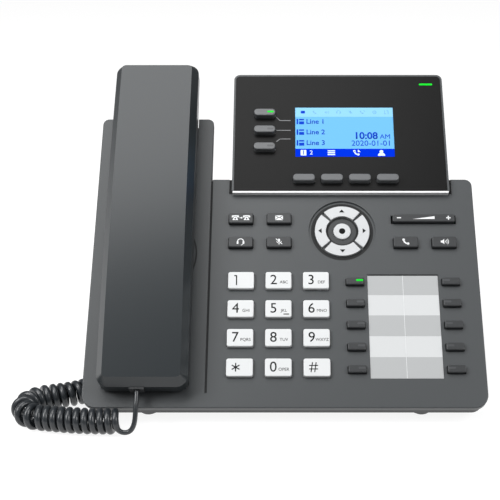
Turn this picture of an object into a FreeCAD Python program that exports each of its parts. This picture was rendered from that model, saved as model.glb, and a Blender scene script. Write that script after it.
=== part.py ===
import FreeCAD, Part
import itertools
import math
import os
import Sketcher

Vector = FreeCAD.Vector

# Desk phone with a sloping face, a display head, a handset in a cradle and a curly cord.
# Face frame of the tilted pieces: x to the right, y up along the face from its front edge, z out of the face.
# Lengths in millimetres, angles in degrees.
SIZES = {
    # Stance
    "tilt": 45,
    "front_height": 11.8,
    "front_reach": 4.9,
    # Base covers
    "base_width": 210,
    "keypad_length": 133,
    "cradle_length": 172.5,
    "cradle_split": 41,
    "lip_height": 4,
    "plate": 2.2,
    "front_corner": 7.5,
    "rear_corner": 4,
    "cradle_corner": 3.5,
    "edge_round": 0.6,
    "overrun": 1,
    "base_depth": 12.5,
    "tray_inset": 1.2,
    "tray_wall": 2,
    "split_width": 1.2,
    "split_depth": 0.9,
    "split_start": 8,
    # Socket hump under the base
    "hump_left": 60,
    "hump_right": 95,
    "hump_front": 74,
    "hump_floor_front": 88,
    "hump_floor_rear": 104,
    "hump_depth": 27,
    # Display head
    "head_left": 29.7,
    "head_right": 91.8,
    "head_start": 123.9,
    "head_end": 200.7,
    "head_rise": 3.2,
    "head_back": 10.3,
    "head_wall": 2,
    "head_corner": 3.5,
    "head_rim": 1.1,
    "head_slit": 1.5,
    "head_gap": 0.4,
    "shelf_clearance": 0.2,
    "panel_thickness": 1.8,
    "panel_clearance": 0.1,
    "screen_x": 34.06,
    "screen_y": 162.05,
    "screen_width": 56.5,
    "screen_height": 32.7,
    "screen_recess": 0.2,
    "module_border": 3,
    "module_depth": 5.4,
    # Cradle
    "cradle_x": 72.8,
    "well_width": 46,
    "well_wall": 2.2,
    "ear_well_start": 154.5,
    "ear_well_depth": 8,
    "mouth_well_start": 12,
    "mouth_well_end": 40,
    "mouth_well_depth": 6.5,
    "grille_y": 86.7,
    "grille_ring": 24.4,
    "grille_groove": 0.6,
    "grille_hole": 1.1,
    "grille_pitch": 5,
    "speaker_flange": 22,
    "speaker_body": 15.4,
    "speaker_flange_thickness": 1,
    "cone_rim": 2,
    "speaker_depth": 6.2,
    "hook_y": 143,
    "hook_radius": 3,
    "hook_flange": 4.4,
    "hook_flange_thickness": 1,
    "hook_travel": 3.2,
    "hook_clearance": 0.1,
    # Handset
    "handset_width": 46.8,
    "handset_start": 8,
    "handset_end": 198.5,
    "handset_mouth_height": 15.8,
    "handset_ear_height": 21.5,
    "handset_top_radius": 1000,
    "handset_corner": 6,
    "handset_bevel_in": 3.5,
    "handset_bevel_down": 5.5,
    "handset_wall": 2.6,
    "handset_roof": 3,
    "parting_mouth": 3,
    "parting_ear": 9,
    "cup_width": 44,
    "cup_inset": 2,
    "cup_draft": 1,
    "cup_step": 0.8,
    "cup_wall": 2.4,
    "grip_mouth": 52,
    "grip_ear": 148,
    "grip_mouth_height": 2,
    "grip_ear_height": 4.2,
    "ear_cup_end": 188,
    "receiver_radius": 12.5,
    "receiver_thickness": 6,
    "microphone_radius": 4.5,
    "microphone_thickness": 5,
    "ear_hole": 0.9,
    "ear_hole_ring": 6,
    "mouth_hole_pitch": 3,
    "parting_step": 1,
    # Keys
    "key_clearance": 0.3,
    "key_flange": 0.9,
    "key_flange_thickness": 1,
    "key_top_round": 0.5,
    "key_travel": 1.2,
    "digit_width": 14,
    "digit_height": 9.75,
    "digit_rise": 2.2,
    "digit_corner": 1.2,
    "digit_x": 23.65,
    "digit_y": 21.2,
    "digit_pitch_x": 20.15,
    "digit_pitch_y": 16.37,
    "function_width": 13.35,
    "function_height": 6.25,
    "function_rise": 2.6,
    "function_corner": 1,
    "function_left_x": 24.3,
    "function_right_x": 66.05,
    "function_pitch_x": 21.05,
    "function_y": 93,
    "function_pitch_y": 14.5,
    "volume_x": 76.55,
    "volume_width": 34.4,
    "volume_height": 4.5,
    "volume_side_clearance": 0.8,
    "volume_pivot": 8,
    "memory_width": 9.5,
    "memory_height": 4,
    "memory_rise": 2.4,
    "memory_corner": 0.7,
    "memory_left_x": 37.65,
    "memory_right_x": 89.3,
    "memory_y": 20.4,
    "memory_pitch": 12.36,
    "line_width": 12.1,
    "line_height": 4.4,
    "line_rise": 3.7,
    "line_corner": 2,
    "line_x": 11.6,
    "line_y": 150.9,
    "line_pitch": 11.15,
    "soft_width": 12.26,
    "soft_height": 4.25,
    "soft_rise": 3.7,
    "soft_corner": 2,
    "soft_x": 10.6,
    "soft_y": 130.8,
    "soft_pitch": 15.6,
    # Navigation cluster
    "nav_x": 31.5,
    "nav_y": 100.6,
    "nav_recess": 18.5,
    "nav_depth": 1,
    "nav_pad": 20,
    "nav_floor": 3.2,
    "nav_outer": 15,
    "nav_inner": 9,
    "nav_rise": 1.4,
    "nav_gap_angle": 8,
    "nav_rib": 0.7,
    "select_radius": 4.8,
    "select_rise": 1,
    # Label card
    "card_left": 44.5,
    "card_right": 82.6,
    "card_start": 15.9,
    "card_end": 74.4,
    "card_pocket": 1,
    "card_thickness": 0.6,
    "card_clearance": 0.15,
    # Boards and fastening
    "mat_top": 6,
    "mat_left": 31.5,
    "mat_right": 93.5,
    "mat_start": 14.5,
    "mat_end": 111.5,
    "dome_radius": 2.5,
    "dome_play": 0.2,
    "board_top": 7,
    "board_thickness": 1.6,
    "board_left": 38,
    "board_right": 100,
    "board_start": 6,
    "board_end": 119,
    "post_radius": 3.2,
    "boss_radius": 4,
    "screw_radius": 1.25,
    "screw_clearance": 0.05,
    "screw_hole": 1.7,
    "screw_head": 2.6,
    "screw_head_height": 1.8,
    "screw_bore": 3,
    "screw_bore_depth": 2.2,
    "screw_tip": 3,
    "screw_tip_room": 0.3,
    "screw_inset_x": 3,
    "screw_inset_front": 5,
    "screw_inset_rear": 4,
    "well_clearance": 0.3,
    "tray_overlap": 9,
    "cradle_screw_inset": 7,
    "cradle_screw_front": 60,
    "cradle_screw_rear": 130,
    # Sockets
    "socket_floor": 2.4,
    "socket_height": 11.2,
    "socket_depth": 9.9,
    "socket_back": 1,
    "network_width": 11.9,
    "network_height": 8.3,
    "network_x": 26,
    "computer_x": 44,
    "headset_x": 62,
    "headset_width": 8,
    "headset_height": 6.8,
    "socket_border": 2,
    "riser_width": 6,
    "riser_height": 4,
    "jack_y": 95,
    "jack_z": 19.7,
    "jack_block": 12,
    "jack_block_depth": 11,
    "plug_width": 7.65,
    "plug_thickness": 6.2,
    "plug_clearance": 0.15,
    "plug_inside": 7.5,
    "plug_outside": 6,
    "handset_plug_x": 75.5,
    "handset_plug_z": 7.2,
    "handset_plug_inside": 11,
    "handset_plug_outside": 1,
    # Stand and feet
    "stand_left": 58,
    "stand_right": 93,
    "stand_plate": 3,
    "stand_plate_run": 15,
    "stand_toe_front": 132,
    "stand_toe_rear": 146,
    "stand_toe_thickness": 3,
    "leg_root": 3,
    "leg_drop": 1.8,
    "leg_end_rear": 4,
    "leg_end_front": 9,
    "foot_x": 72,
    "foot_y": 8.2,
    "foot_radius": 6,
    "foot_boss_radius": 6.9,
    "foot_boss_end": 16.5,
    "foot_end": 20.6,
    "pad_x": 65,
    "pad_width": 18,
    "pad_thickness": 1.5,
    "pad_inset": 1,
    # Curly cord
    "wire_diameter": 3.3,
    "coil_diameter": 13.7,
    "turn_gap": 0.65,
    "lead_straight": 4,
}

doc = FreeCAD.newDocument("desk_phone")
sheet = doc.addObject("Spreadsheet::Sheet", "sizes")


class Dim:
    """A size that carries its formula along with its number."""

    def __init__(self, text, value):
        self.text = text
        self.value = float(value)

    def __add__(self, other):
        other = dim(other)
        return Dim(f"({self.text} + {other.text})", self.value + other.value)

    def __sub__(self, other):
        other = dim(other)
        return Dim(f"({self.text} - {other.text})", self.value - other.value)

    def __mul__(self, other):
        other = dim(other)
        return Dim(f"({self.text} * {other.text})", self.value * other.value)

    def __truediv__(self, other):
        other = dim(other)
        return Dim(f"({self.text} / {other.text})", self.value / other.value)

    def __neg__(self):
        return Dim(f"(0 - {self.text})", -self.value)

    def __rsub__(self, other):
        return dim(other) - self

    __radd__ = __add__
    __rmul__ = __mul__


def dim(item):
    return item if isinstance(item, Dim) else Dim(str(item), item)


def sine(angle):
    return Dim(f"sin({angle.text} * 1 deg)", math.sin(math.radians(angle.value)))


def cosine(angle):
    return Dim(f"cos({angle.text} * 1 deg)", math.cos(math.radians(angle.value)))


class Sizes:
    """Every cell of the sheet under its own name."""


d = Sizes()
for row, (alias, number) in enumerate(SIZES.items(), start=1):
    sheet.set(f"A{row}", alias)
    sheet.set(f"B{row}", str(number))
    sheet.setAlias(f"B{row}", alias)
    setattr(d, alias, Dim(f"sizes.{alias}", number))
doc.recompute()

slope = sine(d.tilt)
level = cosine(d.tilt)
half_width = d.base_width / 2
head_front = d.head_rise - d.panel_thickness
board_bottom = d.board_top + d.board_thickness
tray_floor = d.base_depth - d.tray_wall
tray_edge = half_width - d.tray_inset
cavity_edge = tray_edge - d.tray_wall
hump_top_rear = d.hump_floor_rear + (d.hump_depth - d.base_depth) * slope / level
# The middle of the stance, between the handset's lower end and the head's rear top edge.
origin_depth = (d.head_end * level + d.head_back * slope - d.front_reach) / 2


def desk_point(depth, height):
    """Face-frame y and z of a point given by its depth behind the front edge and its height off the desk."""
    rise = height - d.front_height
    return depth * level + rise * slope, rise * level - depth * slope


def bind(item, name, size):
    item.setExpression(name, dim(size).text)


def place(item, x, y, z, turn=None, axis=Vector(1, 0, 0)):
    if turn is not None:
        item.Placement = FreeCAD.Placement(Vector(), FreeCAD.Rotation(axis, dim(turn).value))
        bind(item, "Placement.Rotation.Angle", turn)
    for name, size in zip("xyz", (x, y, z)):
        bind(item, f"Placement.Base.{name}", size)


def piece(label, tilted=True):
    body = doc.addObject("PartDesign::Body", label)
    body.Label = label
    body.AllowCompound = True
    if tilted:
        place(body, 0, -origin_depth, d.front_height, d.tilt)
    else:
        place(body, 0, -origin_depth, 0)
    return body


def feature(body, kind, name):
    item = body.newObject(kind, name)
    item.Refine = False
    return item


def block(body, name, x, y, z, add=True, upright=False):
    """A box between pairs of limits; an upright one stands square to the desk from its lower rear corner."""
    item = feature(body, "PartDesign::AdditiveBox" if add else "PartDesign::SubtractiveBox", name)
    for side, limits in zip(("Length", "Width", "Height"), (x, y, z)):
        bind(item, side, limits[1] - dim(limits[0]))
    if upright:
        place(item, x[0], *desk_point(y[0], z[0]), -d.tilt)
    else:
        place(item, x[0], y[0], z[0])
    return item


def drum(body, name, centre, radius, z, add=True, angle=None, turn=None):
    item = feature(body, "PartDesign::AdditiveCylinder" if add else "PartDesign::SubtractiveCylinder", name)
    bind(item, "Radius", radius)
    bind(item, "Height", z[1] - dim(z[0]))
    if angle is not None:
        bind(item, "Angle", angle)
    place(item, *centre, z[0], turn, Vector(0, 0, 1))
    return item


def sketch_on(body, name, role, offset):
    drawing = body.newObject("Sketcher::SketchObject", name)
    plane = next(item for item in body.Origin.OriginFeatures if item.Role == role)
    drawing.AttachmentSupport = (plane, "")
    drawing.MapMode = "FlatFace"
    bind(drawing, "AttachmentOffset.Base.z", offset)
    return drawing


def hold(drawing, rules):
    """Constraints of a sketch, each with its kind, its places and its size."""
    made = [Sketcher.Constraint(kind, *places, dim(size).value) for kind, places, size in rules]
    for index, (kind, places, size) in zip(drawing.addConstraint(made), rules):
        drawing.setExpression(f"Constraints[{index}]", dim(size).text)


def prism(body, name, outline, x, add=True, arc=None):
    """A side profile carried across the width; arc gives one bowed side as its number and radius."""
    drawing = sketch_on(body, f"{name}_profile", "YZ_Plane", x[0] if add else x[1])
    corners = [Vector(dim(y).value, dim(z).value, 0) for y, z in outline]
    count = len(corners)
    for index, corner in enumerate(corners):
        following = corners[(index + 1) % count]
        if arc and arc[0] == index:
            chord = following - corner
            radius = arc[1].value
            normal = Vector(chord.y, -chord.x, 0).normalize()
            centre = (corner + following) / 2 + normal * math.sqrt(radius ** 2 - chord.Length ** 2 / 4)
            ends = [math.atan2(end.y - centre.y, end.x - centre.x) for end in (following, corner)]
            circle = Part.Circle(centre, Vector(0, 0, 1), radius)
            drawing.addGeometry(Part.ArcOfCircle(circle, *ends))
        else:
            drawing.addGeometry(Part.LineSegment(corner, following))
    bowed = arc[0] if arc else -1
    for index in range(count):
        following = (index + 1) % count
        end = 1 if index == bowed else 2
        start = 2 if following == bowed else 1
        drawing.addConstraint(Sketcher.Constraint("Coincident", index, end, following, start))
    rules = []
    for index, (y, z) in enumerate(outline):
        start = 2 if index == bowed else 1
        rules += [("DistanceX", (-1, 1, index, start), y), ("DistanceY", (-1, 1, index, start), z)]
    if arc:
        rules.append(("Radius", (bowed,), arc[1]))
    hold(drawing, rules)
    item = feature(body, "PartDesign::Pad" if add else "PartDesign::Pocket", name)
    item.Profile = drawing
    bind(item, "Length", x[1] - dim(x[0]))
    drawing.Visibility = False
    return item


def bores(body, name, centres, radius, z):
    """Round holes of one size, drilled down between two levels."""
    drawing = sketch_on(body, f"{name}_layout", "XY_Plane", z[1])
    rules = []
    for index, (x, y) in enumerate(centres):
        middle = Vector(dim(x).value, dim(y).value, 0)
        drawing.addGeometry(Part.Circle(middle, Vector(0, 0, 1), dim(radius).value))
        rules += [("DistanceX", (-1, 1, index, 3), x), ("DistanceY", (-1, 1, index, 3), y)]
        rules.append(("Radius", (index,), radius))
    hold(drawing, rules)
    item = feature(body, "PartDesign::Pocket", name)
    item.Profile = drawing
    bind(item, "Length", z[1] - dim(z[0]))
    return item


def at_corner(corners):
    """Picks the edges along z at the given corners."""
    places = [(dim(x).value, dim(y).value) for x, y in corners]

    def test(edge):
        ends = [vertex.Point for vertex in edge.Vertexes]
        if len(ends) < 2 or (ends[0] - ends[1]).cross(Vector(0, 0, 1)).Length > 0.001:
            return False
        return any(math.hypot(ends[0].x - x, ends[0].y - y) < 0.01 for x, y in places)

    return test


def at_level(height):
    """Picks the edges that lie at one height."""
    return lambda edge: all(abs(vertex.Z - dim(height).value) < 0.001 for vertex in edge.Vertexes)


def soften(body, name, pick, radius):
    tip = body.Tip
    doc.recompute()
    edges = [f"Edge{number}" for number, edge in enumerate(tip.Shape.Edges, start=1) if pick(edge)]
    if not edges:
        raise RuntimeError(f"{name} finds no edge")
    item = feature(body, "PartDesign::Fillet", name)
    item.Base = (tip, edges)
    bind(item, "Radius", radius)
    return item


def corners_of(x, y):
    return [(across, along) for across in x for along in y]


def around(centre, size):
    return centre - size / 2, centre + size / 2


# Key caps: name, middle across, middle along, width, height, rise, corner.
digit = (d.digit_width, d.digit_height, d.digit_rise, d.digit_corner)
function = (d.function_width, d.function_height, d.function_rise, d.function_corner)
memory = (d.memory_width, d.memory_height, d.memory_rise, d.memory_corner)
face_keys = []
for row, names in enumerate((("star", "0", "hash"), ("7", "8", "9"), ("4", "5", "6"), ("1", "2", "3"))):
    for column, name in enumerate(names):
        middle = (d.digit_pitch_x * column - d.digit_x, d.digit_pitch_y * row + d.digit_y)
        face_keys.append((f"digit_key_{name}", *middle, *digit))
upper_row = d.function_y + d.function_pitch_y
left_second = d.function_pitch_x - d.function_left_x
right_second = d.function_right_x + d.function_pitch_x
for name, x, y in (
    ("transfer_key", -d.function_left_x, upper_row),
    ("message_key", left_second, upper_row),
    ("headset_key", -d.function_left_x, d.function_y),
    ("mute_key", left_second, d.function_y),
    ("call_key", d.function_right_x, d.function_y),
    ("speaker_key", right_second, d.function_y),
):
    face_keys.append((name, x, y, *function))
for side, x in (("left", d.memory_left_x), ("right", d.memory_right_x)):
    for number in range(5):
        y = d.memory_y + d.memory_pitch * (4 - number)
        face_keys.append((f"memory_key_{side}_{number + 1}", x, y, *memory))
display_keys = []
for number in range(3):
    y = d.line_y + d.line_pitch * (2 - number)
    shape = (d.line_width, d.line_height, d.line_rise, d.line_corner)
    display_keys.append((f"line_key_{number + 1}", -d.line_x, y, *shape))
for number in range(4):
    x = d.soft_x + d.soft_pitch * number
    shape = (d.soft_width, d.soft_height, d.soft_rise, d.soft_corner)
    display_keys.append((f"soft_key_{number + 1}", x, d.soft_y, *shape))


def rounded_openings(body, name, openings, z):
    """Rounded rectangles cut down between two levels, each with its middle, its sides and its corner."""
    drawing = sketch_on(body, f"{name}_layout", "XY_Plane", z[1])
    joins = []
    rules = []
    for number, (x, y, width, height, corner) in enumerate(openings):
        (left, right), (low, high) = around(x, width), around(y, height)
        inner_x, inner_y = (left + corner, right - corner), (low + corner, high - corner)
        knots = [
            (inner_x[0], low), (inner_x[1], low), (right, inner_y[0]), (right, inner_y[1]),
            (inner_x[1], high), (inner_x[0], high), (left, inner_y[1]), (left, inner_y[0]),
        ]
        hubs = [(inner_x[across], inner_y[along]) for across, along in ((1, 0), (1, 1), (0, 1), (0, 0))]
        first = number * 8
        for side in range(4):
            ends = [Vector(across.value, along.value, 0) for across, along in knots[side * 2:side * 2 + 2]]
            drawing.addGeometry(Part.LineSegment(*ends))
            hub = Vector(hubs[side][0].value, hubs[side][1].value, 0)
            circle = Part.Circle(hub, Vector(0, 0, 1), corner.value)
            start = math.radians(90 * (side - 1))
            drawing.addGeometry(Part.ArcOfCircle(circle, start, start + math.pi / 2))
        for step in range(8):
            following = first + (step + 1) % 8
            joins.append(Sketcher.Constraint("Coincident", first + step, 2, following, 1))
            rules.append(("DistanceX", (-1, 1, first + step, 1), knots[step][0]))
            rules.append(("DistanceY", (-1, 1, first + step, 1), knots[step][1]))
        rules += [("Radius", (first + step,), corner) for step in (1, 3, 5, 7)]
    drawing.addConstraint(joins)
    hold(drawing, rules)
    item = feature(body, "PartDesign::Pocket", name)
    item.Profile = drawing
    bind(item, "Length", z[1] - dim(z[0]))
    return item


def key_openings(body, keys, z):
    grow = d.key_clearance * 2
    for start in range(0, len(keys), 4):
        group = [(x, y, width + grow, height + grow, corner) for name, x, y, width, height, rise, corner
                 in keys[start:start + 4]]
        rounded_openings(body, f"key_openings_{start // 4 + 1}", group, z)


def key_cap(name, x, y, width, height, rise, corner, seat, base):
    """A cap rising from a flange that rests against the underside of its plate at the seat level."""
    body = piece(name)
    across, along = around(x, width), around(y, height)
    block(body, "cap", across, along, (seat - d.key_flange_thickness, base + rise))
    soften(body, "cap_corners", at_corner(corners_of(across, along)), corner)
    soften(body, "cap_top", at_level(base + rise), d.key_top_round)
    wide, long = around(x, width + d.key_flange * 2), around(y, height + d.key_flange * 2)
    block(body, "flange", wide, long, (seat - d.key_flange_thickness, seat))
    return body


cradle_x = -d.cradle_x
well = around(cradle_x, d.well_width)
well_block = (well[0] - d.well_wall, well[1] + d.well_wall)
split = -d.cradle_split
notch = (-d.head_left - d.head_slit, d.head_right + d.head_slit)
notch_start = d.head_start - d.head_gap
screw_x = (d.screw_inset_x - d.board_left, d.board_right - d.screw_inset_x)
screw_y = (d.board_start + d.screw_inset_front, d.board_end - d.screw_inset_rear)
board_screws = corners_of(screw_x, screw_y)
cradle_screws = corners_of((d.cradle_screw_inset - half_width,), (d.cradle_screw_front, d.cradle_screw_rear))
all_screws = board_screws + cradle_screws

# Top cover of the base.
top = piece("base_top_cover")
lip = (-d.lip_height, 0)
block(top, "keypad_plate", (-half_width, half_width), (0, d.keypad_length), lip)
cradle_y = (d.keypad_length - d.overrun, d.cradle_length)
cradle_plate = block(top, "cradle_plate", (-half_width, split), cradle_y, lip)
cradle_plate.Refine = True
front_corners = corners_of((-half_width, half_width), (0,))
soften(top, "front_corners", at_corner(front_corners), d.front_corner)
soften(top, "rear_corner", at_corner([(half_width, d.keypad_length)]), d.rear_corner)
cradle_corners = corners_of((-half_width, split), (d.cradle_length,))
soften(top, "cradle_corners", at_corner(cradle_corners), d.cradle_corner)
soften(top, "face_edge", at_level(0), d.edge_round)
inside = (-(half_width - d.plate), half_width - d.plate)
hollow = (-d.lip_height, -d.plate)
block(top, "keypad_hollow", inside, (d.plate, d.keypad_length - d.plate), hollow, add=False)
cradle_inside = (inside[0], split - d.plate)
block(top, "cradle_hollow", cradle_inside, (d.plate, d.cradle_length - d.plate), hollow, add=False)
hollow_corners = corners_of(inside, (d.plate,))
soften(top, "hollow_corners", at_corner(hollow_corners), d.front_corner - d.plate)
ear_end = d.cradle_length - d.tray_inset
ear_block = (d.ear_well_start - d.well_wall, ear_end)
block(top, "ear_block", well_block, ear_block, (-(d.ear_well_depth + d.plate), -d.plate))
mouth_block = (d.mouth_well_start - d.well_wall, d.mouth_well_end + d.well_wall)
block(top, "mouth_block", well_block, mouth_block, (-(d.mouth_well_depth + d.plate), -d.plate))
ear_y = (d.ear_well_start, d.cradle_length + d.overrun)
block(top, "ear_well", well, ear_y, (-d.ear_well_depth, d.overrun), add=False)
mouth = (d.mouth_well_start, d.mouth_well_end)
block(top, "mouth_well", well, mouth, (-d.mouth_well_depth, d.overrun), add=False)
past_rear = d.keypad_length + d.overrun
block(top, "head_notch", notch, (notch_start, past_rear), (-d.lip_height, d.overrun), add=False)
groove_x = around(split, d.split_width)
block(top, "split_groove", groove_x, (d.split_start, past_rear), (-d.split_depth, d.overrun), add=False)
card = (d.card_left, d.card_right), (d.card_start, d.card_end)
pocket = [(low - d.card_clearance, high + d.card_clearance) for low, high in card]
block(top, "card_pocket", *pocket, (-d.card_pocket, d.overrun), add=False)
grille = (cradle_x, d.grille_y)
ring = (-d.grille_groove, d.overrun)
drum(top, "grille_groove", grille, d.grille_ring + d.grille_groove / 2, ring, add=False)
drum(top, "grille_disc", grille, d.grille_ring - d.grille_groove / 2, (-d.plate, 0))
holes = [grille]
for circle in (1, 2, 3):
    for step in range(6 * circle):
        angle = math.radians(60 / circle * step)
        reach = d.grille_pitch * circle
        holes.append((cradle_x + reach * math.cos(angle), d.grille_y + reach * math.sin(angle)))
through_plate = (-d.plate - d.overrun, d.overrun)
bores(top, "grille_holes", holes, d.grille_hole, through_plate)
hook = (cradle_x, d.hook_y)
drum(top, "hook_hole", hook, d.hook_radius + d.hook_clearance, through_plate, add=False)
nav = (d.nav_x, d.nav_y)
drum(top, "nav_pad", nav, d.nav_pad, (-d.nav_floor, -d.plate / 2))
drum(top, "nav_recess", nav, d.nav_recess, (-d.nav_depth, d.overrun), add=False)
nav_hole = d.nav_outer + d.key_clearance
drum(top, "nav_opening", nav, nav_hole, (-d.nav_floor, d.overrun), add=False)
drum(top, "nav_hub", nav, d.nav_inner - d.key_clearance, (-d.nav_floor, -d.nav_depth))
for number, turn in enumerate((45, 135)):
    rib = feature(top, "PartDesign::AdditiveBox", f"nav_rib_{number + 1}")
    bind(rib, "Length", nav_hole * 2)
    bind(rib, "Width", d.nav_rib)
    bind(rib, "Height", d.nav_floor - d.nav_depth)
    sweep = math.radians(turn)
    reach, half_rib = nav_hole, d.nav_rib / 2
    corner_x = d.nav_x - reach * math.cos(sweep) + half_rib * math.sin(sweep)
    corner_y = d.nav_y - reach * math.sin(sweep) - half_rib * math.cos(sweep)
    place(rib, corner_x, corner_y, -d.nav_floor, turn, Vector(0, 0, 1))
through_floor = (-d.nav_floor - d.overrun, d.overrun)
drum(top, "select_opening", nav, d.select_radius + d.key_clearance, through_floor, add=False)
key_openings(top, face_keys, through_plate)
volume_x = around(d.volume_x, d.volume_width + d.volume_side_clearance * 2)
volume_y = around(upper_row, d.volume_height + d.key_clearance * 2)
block(top, "volume_opening", volume_x, volume_y, through_plate, add=False)
for number, (x, y) in enumerate(all_screws):
    drum(top, f"post_{number + 1}", (x, y), d.post_radius, (-d.board_top, -d.plate))
thread = d.screw_radius + d.screw_clearance
bores(top, "post_holes", all_screws, thread, (-d.board_top, d.screw_tip_room - d.screw_tip))

# Bottom cover: a tray, and a hump whose rear wall stands square to the desk and takes the sockets.
tray = piece("base_bottom_cover")
tray_height = (-d.base_depth, -d.lip_height)
tray_rear = d.keypad_length - d.tray_inset
tray_split = split - d.tray_inset
tray_x = (-tray_edge, tray_edge)
block(tray, "keypad_tray", tray_x, (d.tray_inset, tray_rear), tray_height)
block(tray, "cradle_tray", (-tray_edge, tray_split), (tray_rear - d.tray_overlap, ear_end), tray_height)
tray_corners = corners_of(tray_x, (d.tray_inset,))
soften(tray, "tray_corners", at_corner(tray_corners), d.front_corner - d.tray_inset)
hump_outline = (
    (d.hump_front, -(tray_floor + d.overrun)),
    (d.hump_front, -d.base_depth),
    (d.hump_floor_front, -d.hump_depth),
    (d.hump_floor_rear, -d.hump_depth),
    (hump_top_rear, -d.base_depth),
    (hump_top_rear, -(tray_floor + d.overrun)),
)
prism(tray, "hump", hump_outline, (-d.hump_left, d.hump_right))
cavity = (-tray_floor, -d.lip_height + d.overrun)
cavity_x = (-cavity_edge, cavity_edge)
cavity_start = d.tray_inset + d.tray_wall
block(tray, "keypad_cavity", cavity_x, (cavity_start, tray_rear - d.tray_wall), cavity, add=False)
cradle_cavity = (-cavity_edge, tray_split - d.tray_wall)
cradle_run = (tray_rear - d.tray_overlap - d.tray_wall, ear_end - d.tray_wall)
block(tray, "cradle_cavity", cradle_cavity, cradle_run, cavity, add=False)
cavity_corners = corners_of(cavity_x, (cavity_start,))
cavity_round = d.front_corner - d.tray_inset - d.tray_wall
soften(tray, "cavity_corners", at_corner(cavity_corners), cavity_round)
slant = d.tray_wall / level
hump_hollow = (
    (d.hump_front + slant, -(tray_floor - d.overrun)),
    (d.hump_front + slant, -tray_floor),
    (d.hump_floor_front + slant - d.tray_wall, -(d.hump_depth - d.tray_wall)),
    (d.hump_floor_rear - slant + d.tray_wall * slope / level, -(d.hump_depth - d.tray_wall)),
    (hump_top_rear - slant + d.tray_wall * slope / level, -tray_floor),
    (hump_top_rear - slant + d.tray_wall * slope / level, -(tray_floor - d.overrun)),
)
hump_inside = (-(d.hump_left - d.tray_wall), d.hump_right - d.tray_wall)
prism(tray, "hump_hollow", hump_hollow, hump_inside, add=False)
shelf_x = (notch[0] - d.tray_wall, notch[1] + d.tray_wall)
shelf_y = (notch_start - d.tray_wall, d.keypad_length - d.plate - d.shelf_clearance)
block(tray, "head_shelf", shelf_x, shelf_y, (-d.base_depth, -d.plate))
block(tray, "head_notch", notch, (notch_start, tray_rear + d.overrun), (-d.head_back, d.overrun), add=False)
ear_gap = (well_block[0] - d.well_clearance, well_block[1] + d.well_clearance)
ear_gap_y = (ear_end - d.tray_wall - d.overrun, ear_end + d.overrun)
ear_gap_z = (-(d.ear_well_depth + d.plate + d.well_clearance), d.overrun)
block(tray, "ear_notch", ear_gap, ear_gap_y, ear_gap_z, add=False)
for number, (x, y) in enumerate(board_screws):
    drum(tray, f"board_boss_{number + 1}", (x, y), d.boss_radius, (-d.base_depth, -board_bottom))
for number, (x, y) in enumerate(cradle_screws):
    drum(tray, f"cradle_boss_{number + 1}", (x, y), d.boss_radius, (-d.base_depth, -d.board_top))
bores(tray, "screw_holes", all_screws, d.screw_hole, (-d.base_depth, -d.board_top))
bore_depth = (-d.base_depth - d.overrun, -d.base_depth + d.screw_bore_depth)
bores(tray, "screw_bores", all_screws, d.screw_bore, bore_depth)
for side, x in (("left", -d.foot_x), ("right", d.foot_x)):
    drum(tray, f"foot_boss_{side}", (x, d.foot_y), d.foot_boss_radius, (-d.foot_boss_end, -tray_floor))
rear_wall = d.hump_floor_rear * level + d.hump_depth * slope
hump_foot = d.front_height + d.hump_floor_rear * slope - d.hump_depth * level
socket_base = hump_foot + d.socket_floor
socket_middle = socket_base + d.socket_height / 2
sockets = (
    ("network", d.network_x, d.network_width, d.network_height),
    ("computer", d.computer_x, d.network_width, d.network_height),
    ("headset", d.headset_x, d.headset_width, d.headset_height),
)
for name, x, width, height in sockets:
    through = (rear_wall - d.tray_wall - d.overrun, rear_wall + d.overrun)
    block(tray, f"{name}_opening", around(x, width), through, around(socket_middle, height), False, True)
plug_gap = d.plug_clearance * 2
jack_y = around(d.jack_y, d.plug_width + plug_gap)
jack_z = around(-d.jack_z, d.plug_thickness + plug_gap)
jack_wall = (-d.hump_left - d.overrun, -d.hump_left + d.tray_wall + d.overrun)
block(tray, "jack_opening", jack_wall, jack_y, jack_z, add=False)

# Display head.
head_x = (-d.head_left, d.head_right)
head_y = (d.head_start, d.head_end)
housing = piece("display_housing")
block(housing, "case", head_x, head_y, (-d.head_back, d.head_rise))
soften(housing, "top_corners", at_corner(corners_of(head_x, (d.head_end,))), d.head_corner)
soften(housing, "back_edge", at_level(-d.head_back), d.edge_round * 2)
room_x = (head_x[0] + d.head_wall, head_x[1] - d.head_wall)
room_y = (head_y[0] + d.head_wall, head_y[1] - d.head_wall)
past_front = d.head_rise + d.overrun
block(housing, "room", room_x, room_y, (-d.head_back + d.head_wall, past_front), add=False)
rebate_x = (head_x[0] + d.head_rim, head_x[1] - d.head_rim)
rebate_y = (head_y[0] - d.overrun, head_y[1] - d.head_rim)
block(housing, "rebate", rebate_x, rebate_y, (head_front, past_front), add=False)
rebate_corners = corners_of(rebate_x, (rebate_y[1],))
soften(housing, "rebate_corners", at_corner(rebate_corners), d.head_corner - d.head_rim)
panel = piece("display_panel")
panel_x = (rebate_x[0] + d.panel_clearance, rebate_x[1] - d.panel_clearance)
panel_y = (head_y[0], rebate_y[1] - d.panel_clearance)
block(panel, "sheet", panel_x, panel_y, (head_front, d.head_rise))
panel_corner = d.head_corner - d.head_rim
soften(panel, "sheet_corners", at_corner(corners_of(panel_x, (panel_y[1],))), panel_corner)
window_x = around(d.screen_x, d.screen_width)
window_y = around(d.screen_y, d.screen_height)
through_panel = (head_front - d.overrun, past_front)
block(panel, "window", window_x, window_y, through_panel, add=False)
key_openings(panel, display_keys, through_panel)
module = piece("lcd_module")
module_x = (window_x[0] - d.module_border, window_x[1] + d.module_border)
module_y = (window_y[0] - d.module_border, window_y[1] + d.module_border)
block(module, "frame", module_x, module_y, (head_front - d.module_depth, head_front))
glass_x = (window_x[0] + d.panel_clearance, window_x[1] - d.panel_clearance)
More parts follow.
